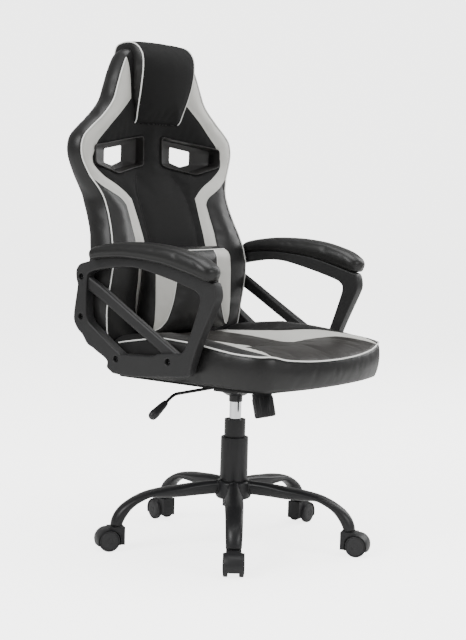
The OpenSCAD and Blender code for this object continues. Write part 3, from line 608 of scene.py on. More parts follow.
# ---------------------------------------------------------------------------------------------
# Seat
# Moulded foam on a plywood board, covered in black PU leather with two grey leather flames let into
# its top. White piping is sewn into the seam between top and sides, and a black cloth closes the base.

leather_group = bpy.data.node_groups.new("leather_skin", "ShaderNodeTree")
for label, start in (("Pores per Metre", 520.0), ("Crease per Metre", 38.0), ("Crease Share", 0.25)):
    leather_group.interface.new_socket(label, in_out="INPUT", socket_type="NodeSocketFloat").default_value = start
for label in ("Height", "Handling"):
    leather_group.interface.new_socket(label, in_out="OUTPUT", socket_type="NodeSocketFloat")
li = place_node(leather_group, "NodeGroupInput")
lo = place_node(leather_group, "NodeGroupOutput")
l_place = place_node(leather_group, "ShaderNodeTexCoord")
l_pores = place_node(leather_group, "ShaderNodeTexVoronoi", {"Randomness": 0.9}, feature="SMOOTH_F1")
l_crease = place_node(leather_group, "ShaderNodeTexNoise", {"Detail": 5.0, "Roughness": 0.62, "Distortion": 0.6})
l_slow = place_node(leather_group, "ShaderNodeTexNoise", {"Scale": 6.5, "Detail": 3.0})
l_blend = place_node(leather_group, "ShaderNodeMix", data_type="FLOAT")
for texture in (l_pores, l_crease, l_slow):
    wire(leather_group, (l_place, "Object", texture, "Vector"))
wire(
    leather_group,
    (li, "Pores per Metre", l_pores, "Scale"), (li, "Crease per Metre", l_crease, "Scale"),
    (li, "Crease Share", l_blend, "Factor"), (l_pores, "Distance", l_blend, "A"), (l_crease, "Fac", l_blend, "B"),
    (l_blend, "Result", lo, "Height"), (l_slow, "Fac", lo, "Handling"),
)


def leather(name, tone, worn_tone, rough, rough_spread, pores=520.0, depth=0.0004, crease=0.25):
    """Grained PU leather: tone, its tone where it is handled, roughness and its spread, pores per metre
    and their depth."""
    return textured(
        name, leather_group, {"Pores per Metre": pores, "Crease Share": crease}, "Handling", (tone, worn_tone),
        (rough + rough_spread, rough - rough_spread), 0.35, depth, {"Specular IOR Level": 0.32},
    )


black_leather = leather("black_leather", (0.0105, 0.0105, 0.0107), (0.016, 0.0157, 0.0153), 0.38, 0.07)
seat_leather = leather("seat_top_leather", (0.014, 0.0128, 0.0115), (0.022, 0.0198, 0.0175), 0.44, 0.06)
grey_leather = leather("light_grey_leather", (0.50, 0.495, 0.465), (0.58, 0.575, 0.545), 0.52, 0.06, 560.0, 0.0003)
piping_vinyl = leather("white_piping", (0.80, 0.80, 0.78), (0.88, 0.88, 0.86), 0.42, 0.05, 900.0, 0.0001, 0.1)
thread_black = grained("black_thread", (0.012, 0.012, 0.012), (0.03, 0.03, 0.03), 0.7, 0.1, 2500.0, 0.0001)
dust_cloth = grained("dust_cloth", (0.008, 0.008, 0.008), (0.016, 0.016, 0.016), 0.9, 0.05, 1800.0, 0.0004)


def mm(points):
    return [tuple(v / 1000 for v in p) for p in points]


def mirrored(points):
    return [(-x, *rest) for x, *rest in points]


def kinked(runs, step):
    """A line whose runs are smooth and that turns sharply where one run meets the next."""
    line = []
    for run in runs:
        even = [tuple(p) for p in smooth_line(run, step)]
        line += even if not line else even[1:]
    return line


def inside(points, loop):
    """Which of the points lie inside the loop."""
    p = np.array(points, float)
    a = np.array(loop, float)
    b = np.roll(a, -1, axis=0)
    hit = np.zeros(len(p), bool)
    for (x0, y0), (x1, y1) in zip(a, b):
        cross = ((y0 > p[:, 1]) != (y1 > p[:, 1])) & (p[:, 0] < (x1 - x0) * (p[:, 1] - y0) / (y1 - y0 + 1e-15) + x0)
        hit ^= cross
    return hit


def cut_cloth(outline, holes, seams, spacing):
    """A flat triangulated cloth inside the outline, with edges along every hole and seam.
    Returns its points, its triangles and each point's distance from the nearest sewn line."""
    points = []
    edges = []
    for line, closed in [(outline, True)] + [(h, True) for h in holes] + [(s, False) for s in seams]:
        first = len(points)
        points += [tuple(p[:2]) for p in line]
        edges += [(first + i, first + i + 1) for i in range(len(line) - 1)]
        if closed:
            edges.append((len(points) - 1, first))
    sewn = KDTree(len(points))
    for i, p in enumerate(points):
        sewn.insert((*p, 0), i)
    sewn.balance()
    low = np.min(np.array(outline), axis=0)
    high = np.max(np.array(outline), axis=0)
    grid = []
    rows = int((high[1] - low[1]) / (spacing * 0.866)) + 1
    for r in range(rows):
        for x in np.arange(low[0] + (r % 2) * spacing / 2, high[0], spacing):
            grid.append((x, low[1] + r * spacing * 0.866))
    keep = inside(grid, outline)
    for hole in holes:
        keep &= ~inside(grid, hole)
    points += [g for g, k in zip(grid, keep) if k and sewn.find((*g, 0))[2] > spacing * 0.6]
    made, _, faces, *_ = geometry.delaunay_2d_cdt([Vector(p) for p in points], edges, [], 0, 1e-6)
    made = np.array([tuple(p) for p in made])
    faces = np.array(faces)
    middle = made[faces].mean(axis=1)
    keep = inside(middle, outline)
    for hole in holes:
        keep &= ~inside(middle, hole)
    faces = faces[keep]
    used = sorted(set(faces.flatten()))
    renumber = {u: i for i, u in enumerate(used)}
    faces = np.array([[renumber[v] for v in f] for f in faces])
    made = made[used]
    away = np.array([sewn.find((*p, 0))[2] for p in made])
    return made, faces, away


def boundary_loops(faces):
    """The edges that only one face has, as closed loops in the faces' own direction."""
    count = {}
    for f in faces:
        for a, b in zip(f, np.roll(f, -1)):
            count[(a, b)] = 1
    follow = {a: b for (a, b) in count if (b, a) not in count}
    loops = []
    while follow:
        start = next(iter(follow))
        loop = [start]
        at = follow.pop(start)
        while at != start:
            loop.append(at)
            at = follow.pop(at)
        loops.append(loop)
    return loops


def sewn_shell(name, outline, holes, seams, spacing, front, rear, wall, wall_rows, colours, finishes, hole_wall=None):
    """A closed upholstered shell: a front cloth with seams, a rear cloth, and a side band between them.
    front and rear turn flat points and their distance from a seam into places. wall gives the band's place from
    0 at the front to 1 at the rear, and colours gives each front face's finish. Returns the object and its sewn points."""
    flat, faces, away = cut_cloth(outline, holes, seams, spacing)
    area = sum((flat[a][0] * flat[b][1] - flat[b][0] * flat[a][1]) for a, b in zip(faces[0], np.roll(faces[0], -1)))
    if area < 0:
        faces = faces[:, ::-1]
    points = [Vector(p) for p in front(flat, away)]
    shown = [tuple(f) for f in faces]
    finish = list(colours(flat[faces].mean(axis=1)))
    sewn = [i for i, d in enumerate(away) if d < 1e-5]
    n = len(points)
    edge_points = sorted(set(v for loop in boundary_loops(faces) for v in loop))
    edge_tree = KDTree(len(edge_points))
    for i, v in enumerate(edge_points):
        edge_tree.insert((*flat[v], 0), i)
    edge_tree.balance()
    rear_away = np.array([edge_tree.find((*p, 0))[2] for p in flat])
    points += [Vector(p) for p in rear(flat, rear_away)]
    shown += [tuple(v + n for v in f[::-1]) for f in faces]
    finish += [0] * len(faces)
    for loop in boundary_loops(faces):
        centre = flat[loop].mean(axis=0)
        span = np.abs(flat[loop] - centre).max()
        outer = span > 0.8 * np.abs(np.array(outline) - np.array(outline).mean(axis=0)).max()
        shape = wall if outer else (hole_wall or wall)
        rows = [loop]
        for r in range(1, wall_rows):
            t = r / wall_rows
            first = len(points)
            for v, before, after in zip(loop, loop[-1:] + loop[:-1], loop[1:] + loop[:1]):
                along = flat[after] - flat[before]
                away_from = np.array([along[1], -along[0]]) / (np.linalg.norm(along) + 1e-12)
                points.append(Vector(shape(points[v], points[v + n], away_from, t)))
            rows.append(list(range(first, first + len(loop))))
        rows.append([v + n for v in loop])
        for one, two in zip(rows, rows[1:]):
            for k in range(len(loop)):
                j = (k + 1) % len(loop)
                shown.append((one[j], one[k], two[k], two[j]))
                finish.append(0)
        sewn += [v + n for v in loop]
    made = piece(name, points, shown, finishes, finish)
    return outward(made), sewn


def puff(obj, sewn, pressure, cap, frames=16, slack=0.0, stiff=12.0):
    """Blows the cover up over its foam with a cloth simulation. Sewn points stay put, and nothing moves further
    than the cap."""
    rest = np.array([v.co for v in obj.data.vertices])
    held = obj.vertex_groups.new(name="sewn")
    held.add([int(v) for v in sewn], 1.0, "REPLACE")
    cloth = obj.modifiers.new("foam_under_cover", "CLOTH")
    cloth.settings.quality = 4
    cloth.settings.mass = 0.35
    cloth.settings.tension_stiffness = stiff
    cloth.settings.compression_stiffness = stiff
    cloth.settings.shear_stiffness = stiff / 3
    cloth.settings.bending_stiffness = 0.4
    cloth.settings.air_damping = 6
    cloth.settings.use_pressure = True
    cloth.settings.uniform_pressure_force = pressure
    cloth.settings.shrink_min = -slack
    cloth.settings.shrink_max = -slack
    cloth.settings.vertex_group_mass = "sewn"
    cloth.settings.effector_weights.gravity = 0
    cloth.collision_settings.use_collision = False
    cloth.point_cache.frame_start = 1
    cloth.point_cache.frame_end = frames
    for step in range(1, frames + 1):
        bpy.context.scene.frame_set(step)
    seen = bpy.context.evaluated_depsgraph_get()
    blown = np.array([v.co for v in obj.evaluated_get(seen).data.vertices])
    obj.modifiers.remove(cloth)
    bpy.context.scene.frame_set(1)
    move = blown - rest
    far = np.linalg.norm(move, axis=1, keepdims=True)
    move *= np.minimum(1.0, cap / np.maximum(far, 1e-9))
    move[~np.isfinite(move)] = 0
    obj.data.vertices.foreach_set("co", (rest + move).astype(np.float32).ravel())
    obj.data.update()
    return obj


stitch_tree, stitch_in, stitch_out = geometry_tree(
    "stitch_row", [("Spacing", "NodeSocketFloat", 0.0045), ("Length", "NodeSocketFloat", 0.003),
        ("Radius", "NodeSocketFloat", 0.0004),
                   ("Thread", "NodeSocketMaterial", None)])
s_curve = place_node(stitch_tree, "GeometryNodeMeshToCurve")
s_even = place_node(stitch_tree, "GeometryNodeResampleCurve", mode="LENGTH")
s_one = place_node(stitch_tree, "GeometryNodeMeshCylinder", {"Vertices": 6, "Side Segments": 1, "Fill Segments": 1})
s_way = place_node(stitch_tree, "GeometryNodeInputTangent")
s_turn = place_node(stitch_tree, "FunctionNodeAlignRotationToVector", axis="Z")
s_copy = place_node(stitch_tree, "GeometryNodeInstanceOnPoints")
s_real = place_node(stitch_tree, "GeometryNodeRealizeInstances")
s_finish = place_node(stitch_tree, "GeometryNodeSetMaterial")
wire(
    stitch_tree,
    (stitch_in, "Geometry", s_curve, "Mesh"), (s_curve, "Curve", s_even, "Curve"),
    (stitch_in, "Spacing", s_even, "Length"), (stitch_in, "Length", s_one, "Depth"),
    (stitch_in, "Radius", s_one, "Radius"), (s_way, "Tangent", s_turn, "Vector"),
    (s_even, "Curve", s_copy, "Points"), (s_one, "Mesh", s_copy, "Instance"),
    (s_turn, "Rotation", s_copy, "Rotation"), (s_copy, "Instances", s_real, "Geometry"),
    (s_real, "Geometry", s_finish, "Geometry"), (stitch_in, "Thread", s_finish, "Material"),
    (s_finish, "Geometry", stitch_out, "Geometry"),
)


def laid_on(obj, lines, lift):
    """The lines moved onto the nearest place of a piece's surface, and lifted off it."""
    seen = bpy.context.evaluated_depsgraph_get()
    tree = BVHTree.FromObject(obj, seen)
    done = []
    for line in lines:
        moved = []
        for p in line:
            near, normal, *_ = tree.find_nearest(Vector(p))
            moved.append(near + normal * lift)
        done.append(moved)
    return done


def stitched(name, obj, lines, thread, body, spacing=0.005):
    """Rows of stitches sewn into a piece along lines on its surface."""
    made = loose_lines(name, laid_on(obj, lines, 0.0001))
    grow(made, stitch_tree, Spacing=spacing, Length=0.0034, Radius=0.00042, Thread=thread)
    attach(made, body)
    return made


def beside(line, gap):
    """A flat line moved sideways by a gap."""
    p = np.array(line, float)[:, :2]
    way = np.gradient(p, axis=0)
    side = np.stack([way[:, 1], -way[:, 0]], axis=1)
    side /= np.linalg.norm(side, axis=1, keepdims=True) + 1e-12
    return p + side * gap


seat_half = mm([
    (0, -287), (55, -285), (108, -280), (150, -273), (188, -264), (215, -255), (232, -242), (242, -223),
    (247.5, -196), (251, -150), (252, -80),
    (252, 0), (251, 80), (249, 135), (244, 164), (230, 179), (205, 183), (150, 184), (80, 184), (0, 184)])
seat_right = smooth_line(seat_half, 0.007)
seat_outline = [tuple(p) for p in seat_right] + [(-x, y) for x, y in seat_right[-2:0:-1]]
seat_edge = np.array(mm([
    (-300, 469), (-287, 470), (-280, 477), (-268, 481), (-250, 484), (-222, 488), (-173, 491), (-92, 501), (-49, 504),
    (24, 507), (85, 497),
    (130, 489), (158, 483), (200, 478)]))
seat_middle = np.array(mm([
    (-300, 466), (-287, 470), (-270, 477), (-240, 482), (-200, 485), (-120, 485), (0, 486), (100, 488), (160, 487),
    (184, 482), (200, 480)]))
seat_base_z = 0.4075


def seat_top(flat, away):
    x, y = flat[:, 0], flat[:, 1]
    edge_y = np.interp(y, seat_edge[:, 0], seat_edge[:, 1])
    middle = np.interp(y, seat_middle[:, 0], seat_middle[:, 1])
    across = np.clip(np.abs(x) / 0.250, 0, 1)
    rise = across ** 2.4
    front_pull = np.clip((-0.150 - y) / 0.137, 0, 1) ** 2
    rim = middle + (edge_y - middle) * rise
    low_front = np.interp(np.abs(x), [0, 0.108, 0.170, 0.232, 0.3], [0.470, 0.477, 0.480, 0.483, 0.484])
    z = rim * (1 - front_pull) + np.minimum(rim, low_front + 0.004) * front_pull
    crest = 0.013 * np.exp(-((across - 0.84) / 0.105) ** 2) * (1 - 0.8 * front_pull)
    pillow = 0.0055 * (1 - np.exp(-away / 0.012)) - 0.0012
    return np.stack([x, y, z + crest + pillow], axis=1)


def seat_bottom(flat, away):
    x, y = flat[:, 0], flat[:, 1]
    edge = np.exp(-away / 0.010)
    side_lift = 0.006 * np.clip((np.abs(x) - 0.22) / 0.03, 0, 1)
    return np.stack([x * 0.985, y * 0.985, seat_base_z + 0.003 - edge * 0.0015 + side_lift * edge], axis=1)


def seat_wall(top, bottom, way, t):
    p = top.lerp(bottom, t)
    swell = 0.0065 * math.sin(math.pi * min(1, t * 1.02)) ** 0.7
    return p + Vector((way[0], way[1], 0)) * swell


flame_outer = kinked([mm([(150, 184), (158, 165), (166, 90), (174, 35), (182, 0), (195, -50), (207, -105),
    (214, -150), (218, -190),
                          (217, -225), (205, -264)])], 0.007)
flame_inner = kinked([
    mm([(112, 184), (108, 140), (103, 90), (98, 30), (85, -30), (64, -105)]),
    mm([(64, -105), (85, -101), (110, -101), (140, -103), (165, -112), (182, -130), (192, -155), (196, -190),
        (198, -225), (205, -264)]),
], 0.007)
flame = flame_outer + flame_inner[::-1]
seat_seams = [flame_outer, flame_inner, mirrored(flame_outer), mirrored(flame_inner)]


def seat_colours(middle):
    grey = inside(middle, flame) | inside(middle, mirrored(flame))
    centre = np.abs(middle[:, 0]) < np.interp(middle[:, 1], [-0.262, -0.195, -0.14, -0.105, 0.0, 0.184],
        [0.203, 0.208, 0.206, 0.2, 0.182, 0.15])
    return np.where(grey, 1, np.where(centre, 2, 0))


seat_cover, seat_sewn = sewn_shell(
    "seat_cover", seat_outline, [], seat_seams, 0.009, seat_top, seat_bottom, seat_wall, 9, seat_colours,
    [black_leather, grey_leather, seat_leather])
seat_sewn = list(seat_sewn) + [v.index for v in seat_cover.data.vertices if v.co.z < seat_base_z + 0.010]
puff(seat_cover, seat_sewn, 3.0, 0.006, slack=0.004)
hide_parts("seat_cushion")
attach(seat_cover, "seat")


def seat_line(points, gap=0.0):
    flat = beside(points, gap) if gap else np.array(points, float)[:, :2]
    return [tuple(p) for p in seat_top(flat, np.zeros(len(flat)))]


piped = [p for p in seat_right if p[1] < 0.152]
piped = [(x, y) for x, y in reversed(piped)] + [(-x, y) for x, y in piped[1:]]
seat_piping = swept("seat_piping", [[Vector(p) + Vector((0, 0, 0.0012)) for p in seat_line(
    [(x * 1.004, y * 1.004 if y < 0 else y) for x, y in piped])]], 0.0017, piping_vinyl, 10)
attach(seat_piping, "seat")
stitched("seat_stitches_black", seat_cover, [seat_line(s, g) for s, g in (
    (flame_outer, -0.004), (flame_inner, 0.004), (mirrored(flame_outer), 0.004), (mirrored(flame_inner), -0.004))],
    thread_black, "seat")
dress("seat_frame", dust_cloth)
dress("dust_cover", dust_cloth)

# ---------------------------------------------------------------------------------------------
# Back
# A shaped plywood shell with foam on its face, sewn into black PU leather with a matte stretch fabric
# down the middle and two grey leather stripes. White piping joins the face to the side gusset.

back_fabric = grained("matte_stretch_fabric", (0.0105, 0.0105, 0.0105), (0.0135, 0.0135, 0.0135), 0.80, 0.05, 1500.0,
    0.00035)
back_fabric.node_tree.nodes["Principled BSDF"].inputs["Specular IOR Level"].default_value = 0.12

back_half = mm([
    (0, 452), (120, 452), (200, 454), (220, 462), (232, 475), (245, 500), (251, 540), (254, 585), (251, 640),
    (243, 695), (230, 755), (226, 800),
    (232, 830), (253, 865), (272, 903), (276, 930), (268, 955), (245, 976), (206, 1005), (170, 1040), (153, 1075),
    (138, 1110), (122, 1140),
    (110, 1154), (92, 1161), (60, 1164), (0, 1164)])
back_right = smooth_line(back_half, 0.009)
back_outline = [tuple(p) for p in back_right] + [(-x, z) for x, z in back_right[-2:0:-1]]
seam_table = np.array(mm([
    (455, 192), (480, 190), (515, 189), (550, 187), (585, 182), (620, 176), (655, 173), (690, 178), (725, 189),
    (760, 203), (795, 217),
    (830, 231), (865, 246), (900, 252), (935, 253), (1005, 252), (1075, 257), (1145, 261), (1180, 267)]))
rear_table = np.array(mm([
    (450, 246), (600, 250), (690, 254), (730, 264), (760, 277), (800, 294), (835, 302), (900, 303), (1000, 306),
    (1100, 310), (1150, 311), (1180, 304)]))
recess_table = np.array(mm([(450, 16), (600, 18), (700, 21), (800, 22), (850, 25), (900, 27), (960, 27), (1000, 23),
    (1100, 14), (1180, 8)]))
width_z = back_right[:, 1] + np.arange(len(back_right)) * 1e-7


def back_face(flat, away):
    x, z = flat[:, 0], flat[:, 1]
    across = np.clip(np.abs(x) / np.interp(z, width_z, np.maximum(back_right[:, 0], 0.11)), 0, 1)
    t = np.clip((across - 0.16) / 0.76, 0, 1)
    fall = 1 - t * t * (3 - 2 * t)
    foam = 0.0065 * (1 - np.exp(-away / 0.016))
    y = np.interp(z, seam_table[:, 0], seam_table[:, 1]) + np.interp(z, recess_table[:, 0],
        recess_table[:, 1]) * fall - foam
    return np.stack([x, y, z], axis=1)


def back_rear(flat, away):
    x, z = flat[:, 0], flat[:, 1]
    edge = np.exp(-away / 0.008)
    y = np.interp(z, rear_table[:, 0], rear_table[:, 1]) + 0.002 - 0.0045 * edge
    return np.stack([x * (1 - 0.012 * edge), y, z - (z - 0.81) * 0.006 * edge], axis=1)


def back_gusset(face, rear, way, t):
    return face.lerp(rear, t) + Vector((way[0], 0, way[1])) * 0.0075 * math.sin(math.pi * t) ** 0.75


def straight(face, rear, way, t):
    return face.lerp(rear, t)


def offset_loop(loop, by):
    """A closed outline moved outward by a distance, corner by corner."""
    made = []
    n = len(loop)
    turn = sum(loop[i][0] * loop[(i + 1) % n][1] - loop[(i + 1) % n][0] * loop[i][1] for i in range(n))
    for i in range(n):
        a, b, c = (Vector(loop[(i + k) % n]) for k in (-1, 0, 1))
        one, two = (b - a).normalized(), (c - b).normalized()
        side = Vector((one.y + two.y, -one.x - two.x)).normalized() * (1 if turn > 0 else -1)
        made.append(tuple(b + side * by / max(0.35, side.dot(Vector((one.y, -one.x)) * (1 if turn > 0 else -1)))))
    return made


def rounded_loop(loop, radius, arc=6, along=6):
    """A closed outline with round corners and evenly split sides. Loops with as many corners get as many points."""
    made = []
    n = len(loop)
    starts = []
    for i in range(n):
        a, b, c = (Vector(loop[(i + k) % n]) for k in (-1, 0, 1))
        r = min(radius, (a - b).length * 0.45, (c - b).length * 0.45)
        starts.append([b + (a - b).normalized() * r, b, b + (c - b).normalized() * r])
    for i in range(n):
        p, b, q = starts[i]
        made += [tuple(p * (1 - t) ** 2 + b * 2 * t * (1 - t) + q * t * t) for t in [k / arc for k in range(arc + 1)]]
        after = starts[(i + 1) % n][0]
        made += [tuple(q.lerp(after, k / (along + 1))) for k in range(1, along + 1)]
    return made


mouth = mm([(35, 893), (35, 960), (229, 934), (229, 894), (145, 873)])
window = mm([(89, 900), (89, 938), (159, 928), (159, 896), (126, 889)])
plate_places = np.array(mm([(35, 300), (89, 297), (159, 289), (240, 282)]))
back_holes = [rounded_loop(offset_loop(mouth, 0.0015), 0.010),
    rounded_loop(mirrored(offset_loop(mouth, 0.0015)), 0.010)]

stripe_inner = kinked([
    mm([(121, 1152), (109, 1125), (101, 1088), (97, 1049)]),
    mm([(97, 1049), (128, 1023), (163, 994), (190, 970), (212, 951), (228, 934), (238, 908), (233, 888), (202, 864),
        (161, 843), (135, 826), (119, 812)]),
    mm([(119, 812), (116, 778), (114, 740), (113, 700), (116, 620), (138, 520)]),
], 0.008)
stripe_outer = kinked([
    mm([(252, 862), (236, 852), (219, 841), (195, 829), (171, 818), (157, 808), (149, 797)]),
    mm([(149, 797), (149, 765), (150, 740), (150, 690), (150, 640), (147, 575), (138, 520)]),
], 0.008)
stripe_inner = [p for p in stripe_inner if not inside([p], offset_loop(back_holes[0], 0.006))[0]]
crease = kinked([mm([(66, 866), (80, 845), (89, 815), (93, 760), (90, 700), (85, 600), (80, 520)])], 0.009)
stripe_field = stripe_inner[:-1] + stripe_outer[::-1] + mm([(320, 862), (330, 960), (215, 1085), (150, 1162)])
wing_field = stripe_outer + mm([(138, 440), (320, 440), (320, 862)])
centre_lines = [crease, mirrored(crease)]


def back_colours(middle):
    grey = inside(middle, stripe_field) | inside(middle, mirrored(stripe_field))
    wing = inside(middle, wing_field) | inside(middle, mirrored(wing_field))
    return np.where(grey, 1, np.where(wing, 0, 2))


back_cover, back_sewn = sewn_shell(
    "back_cover", back_outline, back_holes, [stripe_inner, mirrored(stripe_inner), stripe_outer,
        mirrored(stripe_outer)] + centre_lines,
    0.009, back_face, back_rear, back_gusset, 9, back_colours, [black_leather, grey_leather, back_fabric], straight)
puff(back_cover, back_sewn, 3.0, 0.006, slack=0.004)
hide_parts("back_cushion")
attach(back_cover, "seat")


def back_line(points, gap=0.0, lift=0.0):
    flat = beside(points, gap) if gap else np.array(points, float)[:, :2]
    return [(x, y - lift, z) for x, y, z in back_face(flat, np.zeros(len(flat)))]


piped = [p for p in back_right if p[1] < 1.150]
piped = [(x * 1.003, z) for x, z in piped]
back_piping = swept("back_piping", [back_line(mirrored(piped)[::-1] + piped[1:], lift=0.001)], 0.0016, piping_vinyl, 10)
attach(back_piping, "seat")
stitched("back_stitches", back_cover, [back_line(s, g) for s, g in (
    (stripe_inner, 0.004), (mirrored(stripe_inner), -0.004), (stripe_outer, -0.004), (mirrored(stripe_outer), 0.004),
    (crease, 0.003), (mirrored(crease), -0.003))], thread_black, "seat")

# The rear cover's middle seam
rear_seam = swept("rear_seam", [
    [(0, np.interp(z, rear_table[:, 0], rear_table[:, 1]) + 0.0004, z) for z in np.arange(0.47, 1.10, 0.01)]], 0.0011,
    black_leather, 8)
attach(rear_seam, "seat")
dress("back_frame", powder_coat)

# ---------------------------------------------------------------------------------------------
# Vents
# Two moulded plastic funnels lining the back's openings, each with a small window in a plate set deep
# inside. Their rounded rims hold the edges of the cover down, front and rear.

vent_plastic = grained("vent_plastic", (0.020, 0.0195, 0.019), (0.032, 0.031, 0.030), 0.34, 0.05, 1300.0, 0.00015)


def ring_at(loop, depth):
    """A loop of flat points set at a distance from the back's face, its rear or the vent's own plate."""
    flat = np.array(loop, float)
    face = back_face(flat, np.full(len(flat), 0.03))[:, 1]
    rear = back_rear(flat, np.full(len(flat), 0.03))[:, 1]
    kind, value = depth
    plate = np.interp(np.abs(flat[:, 0]), plate_places[:, 0], plate_places[:, 1])
    y = {"face": face, "rear": rear, "plate": plate}[kind] + value
    return [(p[0], d, p[1]) for p, d in zip(flat, y)]


vent_steps = [
    (3.0, 11, mouth, ("face", 0.0040)), (2.4, 11, mouth, ("face", 0.0014)), (1.8, 10.5, mouth, ("face", 0.0004)),
    (1.0, 10, mouth, ("face", 0.0002)), (0.3, 9, mouth, ("face", 0.0008)), (0.0, 9, mouth, ("face", 0.0026)),
    (-1.2, 9, mouth, ("plate", -0.0030)),
    (-1.6, 9, mouth, ("plate", -0.0013)), (-3.0, 8, mouth, ("plate", -0.0005)), (1.6, 6, window, ("plate", -0.0005)),
    (0.5, 5, window, ("plate", -0.0002)),
    (0, 5, window, ("plate", 0.0009)), (0, 5, window, ("plate", 0.0025)), (0.6, 5, window, ("plate", 0.0035)),
    (-3.0, 8, mouth, ("plate", 0.0037)),
    (-1.4, 9, mouth, ("plate", 0.0045)), (-0.6, 9, mouth, ("rear", -0.002)), (0.2, 10, mouth, ("rear", 0.0012)),
    (1.8, 10, mouth, ("rear", 0.0018)),
    (3.2, 11, mouth, ("rear", 0.0006)), (3.2, 11, mouth, ("rear", -0.004)),
]
for side, node in ((1, "vent_left"), (-1, "vent_right")):
    vent_rings = []
    for out, corner, shape, depth in vent_steps:
        ring = ring_at(rounded_loop(offset_loop(shape, out / 1000), corner / 1000), depth)
        vent_rings.append([(x * side, y, z) for x, y, z in ring])
    vent_points, vent_faces = skin(vent_rings + [vent_rings[0]], False)
    vent = piece(node.replace("vent", "lining"), vent_points, vent_faces, [vent_plastic])
    weld = bmesh.new()
    weld.from_mesh(vent.data)
    bmesh.ops.remove_doubles(weld, verts=weld.verts, dist=0.000001)
    weld.to_mesh(vent.data)
    weld.free()
    outward(vent)
    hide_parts(node)
    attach(vent, "seat")

# ---------------------------------------------------------------------------------------------
# Lumbar cushion
# A foam block in a sewn black cover with a grey leather leaf at each side. It lies against the back's
# face, and a bright piping runs along each leaf's inner edge and the cushion's top.

lumbar_outline = [tuple(p) for p in smooth_line(mm([
    (-112, 502), (0, 502), (112, 502), (132, 503), (139, 508), (141.5, 520), (142, 600), (142, 668), (140, 683),
    (131, 691), (110, 693), (0, 693),
    (-110, 693), (-131, 691), (-140, 683), (-142, 668), (-142, 600), (-141.5, 520), (-139, 508), (-132, 503)]), 0.006,
    True)]
lumbar_profile = np.array(mm([(495, 140), (503, 133), (512, 127), (530, 123), (567, 121), (640, 122), (673, 125),
    (685, 130), (693, 138), (703, 146)]))
leaf_edge = kinked([mm([(76, 693), (75, 660), (78, 631), (85, 595), (93, 566), (106, 533), (124, 512), (138, 507)])],
    0.006)
leaf_field = leaf_edge + mm([(160, 500), (160, 710), (76, 710)])


def lumbar_face(flat, away):
    x, z = flat[:, 0], flat[:, 1]
    side = np.clip(np.abs(x) / 0.142, 0, 1)
    y = np.interp(z, lumbar_profile[:, 0], lumbar_profile[:, 1]) + 0.013 * side ** 3 - 0.0045 * (1 - np.exp(-away / 0.013))
    return np.stack([x, y, z], axis=1)


def lumbar_rear(flat, away):
    x, z = flat[:, 0], flat[:, 1]
    lean = back_face(flat, np.full(len(flat), 0.03))
    return np.stack([x * 0.99, lean[:, 1] + 0.003, z - 0.001], axis=1)


def lumbar_gusset(face, rear, way, t):
    return face.lerp(rear, t) + Vector((way[0], 0, way[1])) * 0.0055 * math.sin(math.pi * t) ** 0.8


def lumbar_colours(middle):
    return np.where(inside(middle, leaf_field) | inside(middle, mirrored(leaf_field)), 1, 0)


lumbar_cover, lumbar_sewn = sewn_shell(
    "lumbar_cover", lumbar_outline, [], [leaf_edge, mirrored(leaf_edge)], 0.007, lumbar_face, lumbar_rear,
    lumbar_gusset, 8, lumbar_colours,
    [black_leather, grey_leather])
puff(lumbar_cover, lumbar_sewn, 2.5, 0.004, slack=0.006)
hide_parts("lumbar_cushion")
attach(lumbar_cover, "seat")


def lumbar_line(points, lift):
    flat = np.array(points, float)[:, :2]
    return [(x, y - lift, z) for x, y, z in lumbar_face(flat, np.zeros(len(flat)))]


lumbar_top = [(x / 1000, 0.6922) for x in range(-128, 129, 8)]
lumbar_piping = swept("lumbar_piping", [
    lumbar_line(leaf_edge, 0.0006), lumbar_line(mirrored(leaf_edge), 0.0006), lumbar_line(lumbar_top, 0.0004)],
    0.0012, piping_vinyl, 10)
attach(lumbar_piping, "seat")

# ---------------------------------------------------------------------------------------------
# Head cushion
# A thick band of foam folded over the top of the back, in the back's matte fabric with black leather
# ends. White piping runs up both edges of its front, over the top and down behind.

head_outer = np.array(mm([
    (262, 989), (253, 999), (244, 1022), (230, 1067), (222, 1107), (221, 1135), (229, 1159), (248, 1177), (272, 1184),
    (300, 1181), (316, 1172),
    (322, 1152), (321, 1125), (320, 1110), (314, 1100)]))
head_inner = np.array(mm([
    (272, 991), (272, 1004), (273, 1022), (275, 1067), (278, 1100), (280, 1120), (281, 1140), (282, 1155),
    (285, 1160), (290, 1158), (293, 1150),
    (294, 1140), (294, 1122), (294, 1108), (293, 1100)]))
head_both = smooth_line(np.hstack([head_outer, head_inner]), 0.004)
head_run = np.concatenate([[0], np.cumsum(np.linalg.norm(np.diff(head_both[:, :2], axis=0), axis=1))])
head_length = float(head_run[-1])
head_outline = []
for a, b in (((0, -1), (1, -1)), ((1, -1), (1, 1)), ((1, 1), (0, 1)), ((0, 1), (0, -1))):
    count = 48 if a[0] != b[0] else 26
    head_outline += [((a[0] + (b[0] - a[0]) * k / count) * head_length,
        (a[1] + (b[1] - a[1]) * k / count) * 0.094) for k in range(count)]


def head_width(s):
    return np.interp(s, [0, 0.03, 0.06, 0.10, 0.14, head_length], [0.84, 0.89, 0.94, 0.985, 1.0, 1.0])


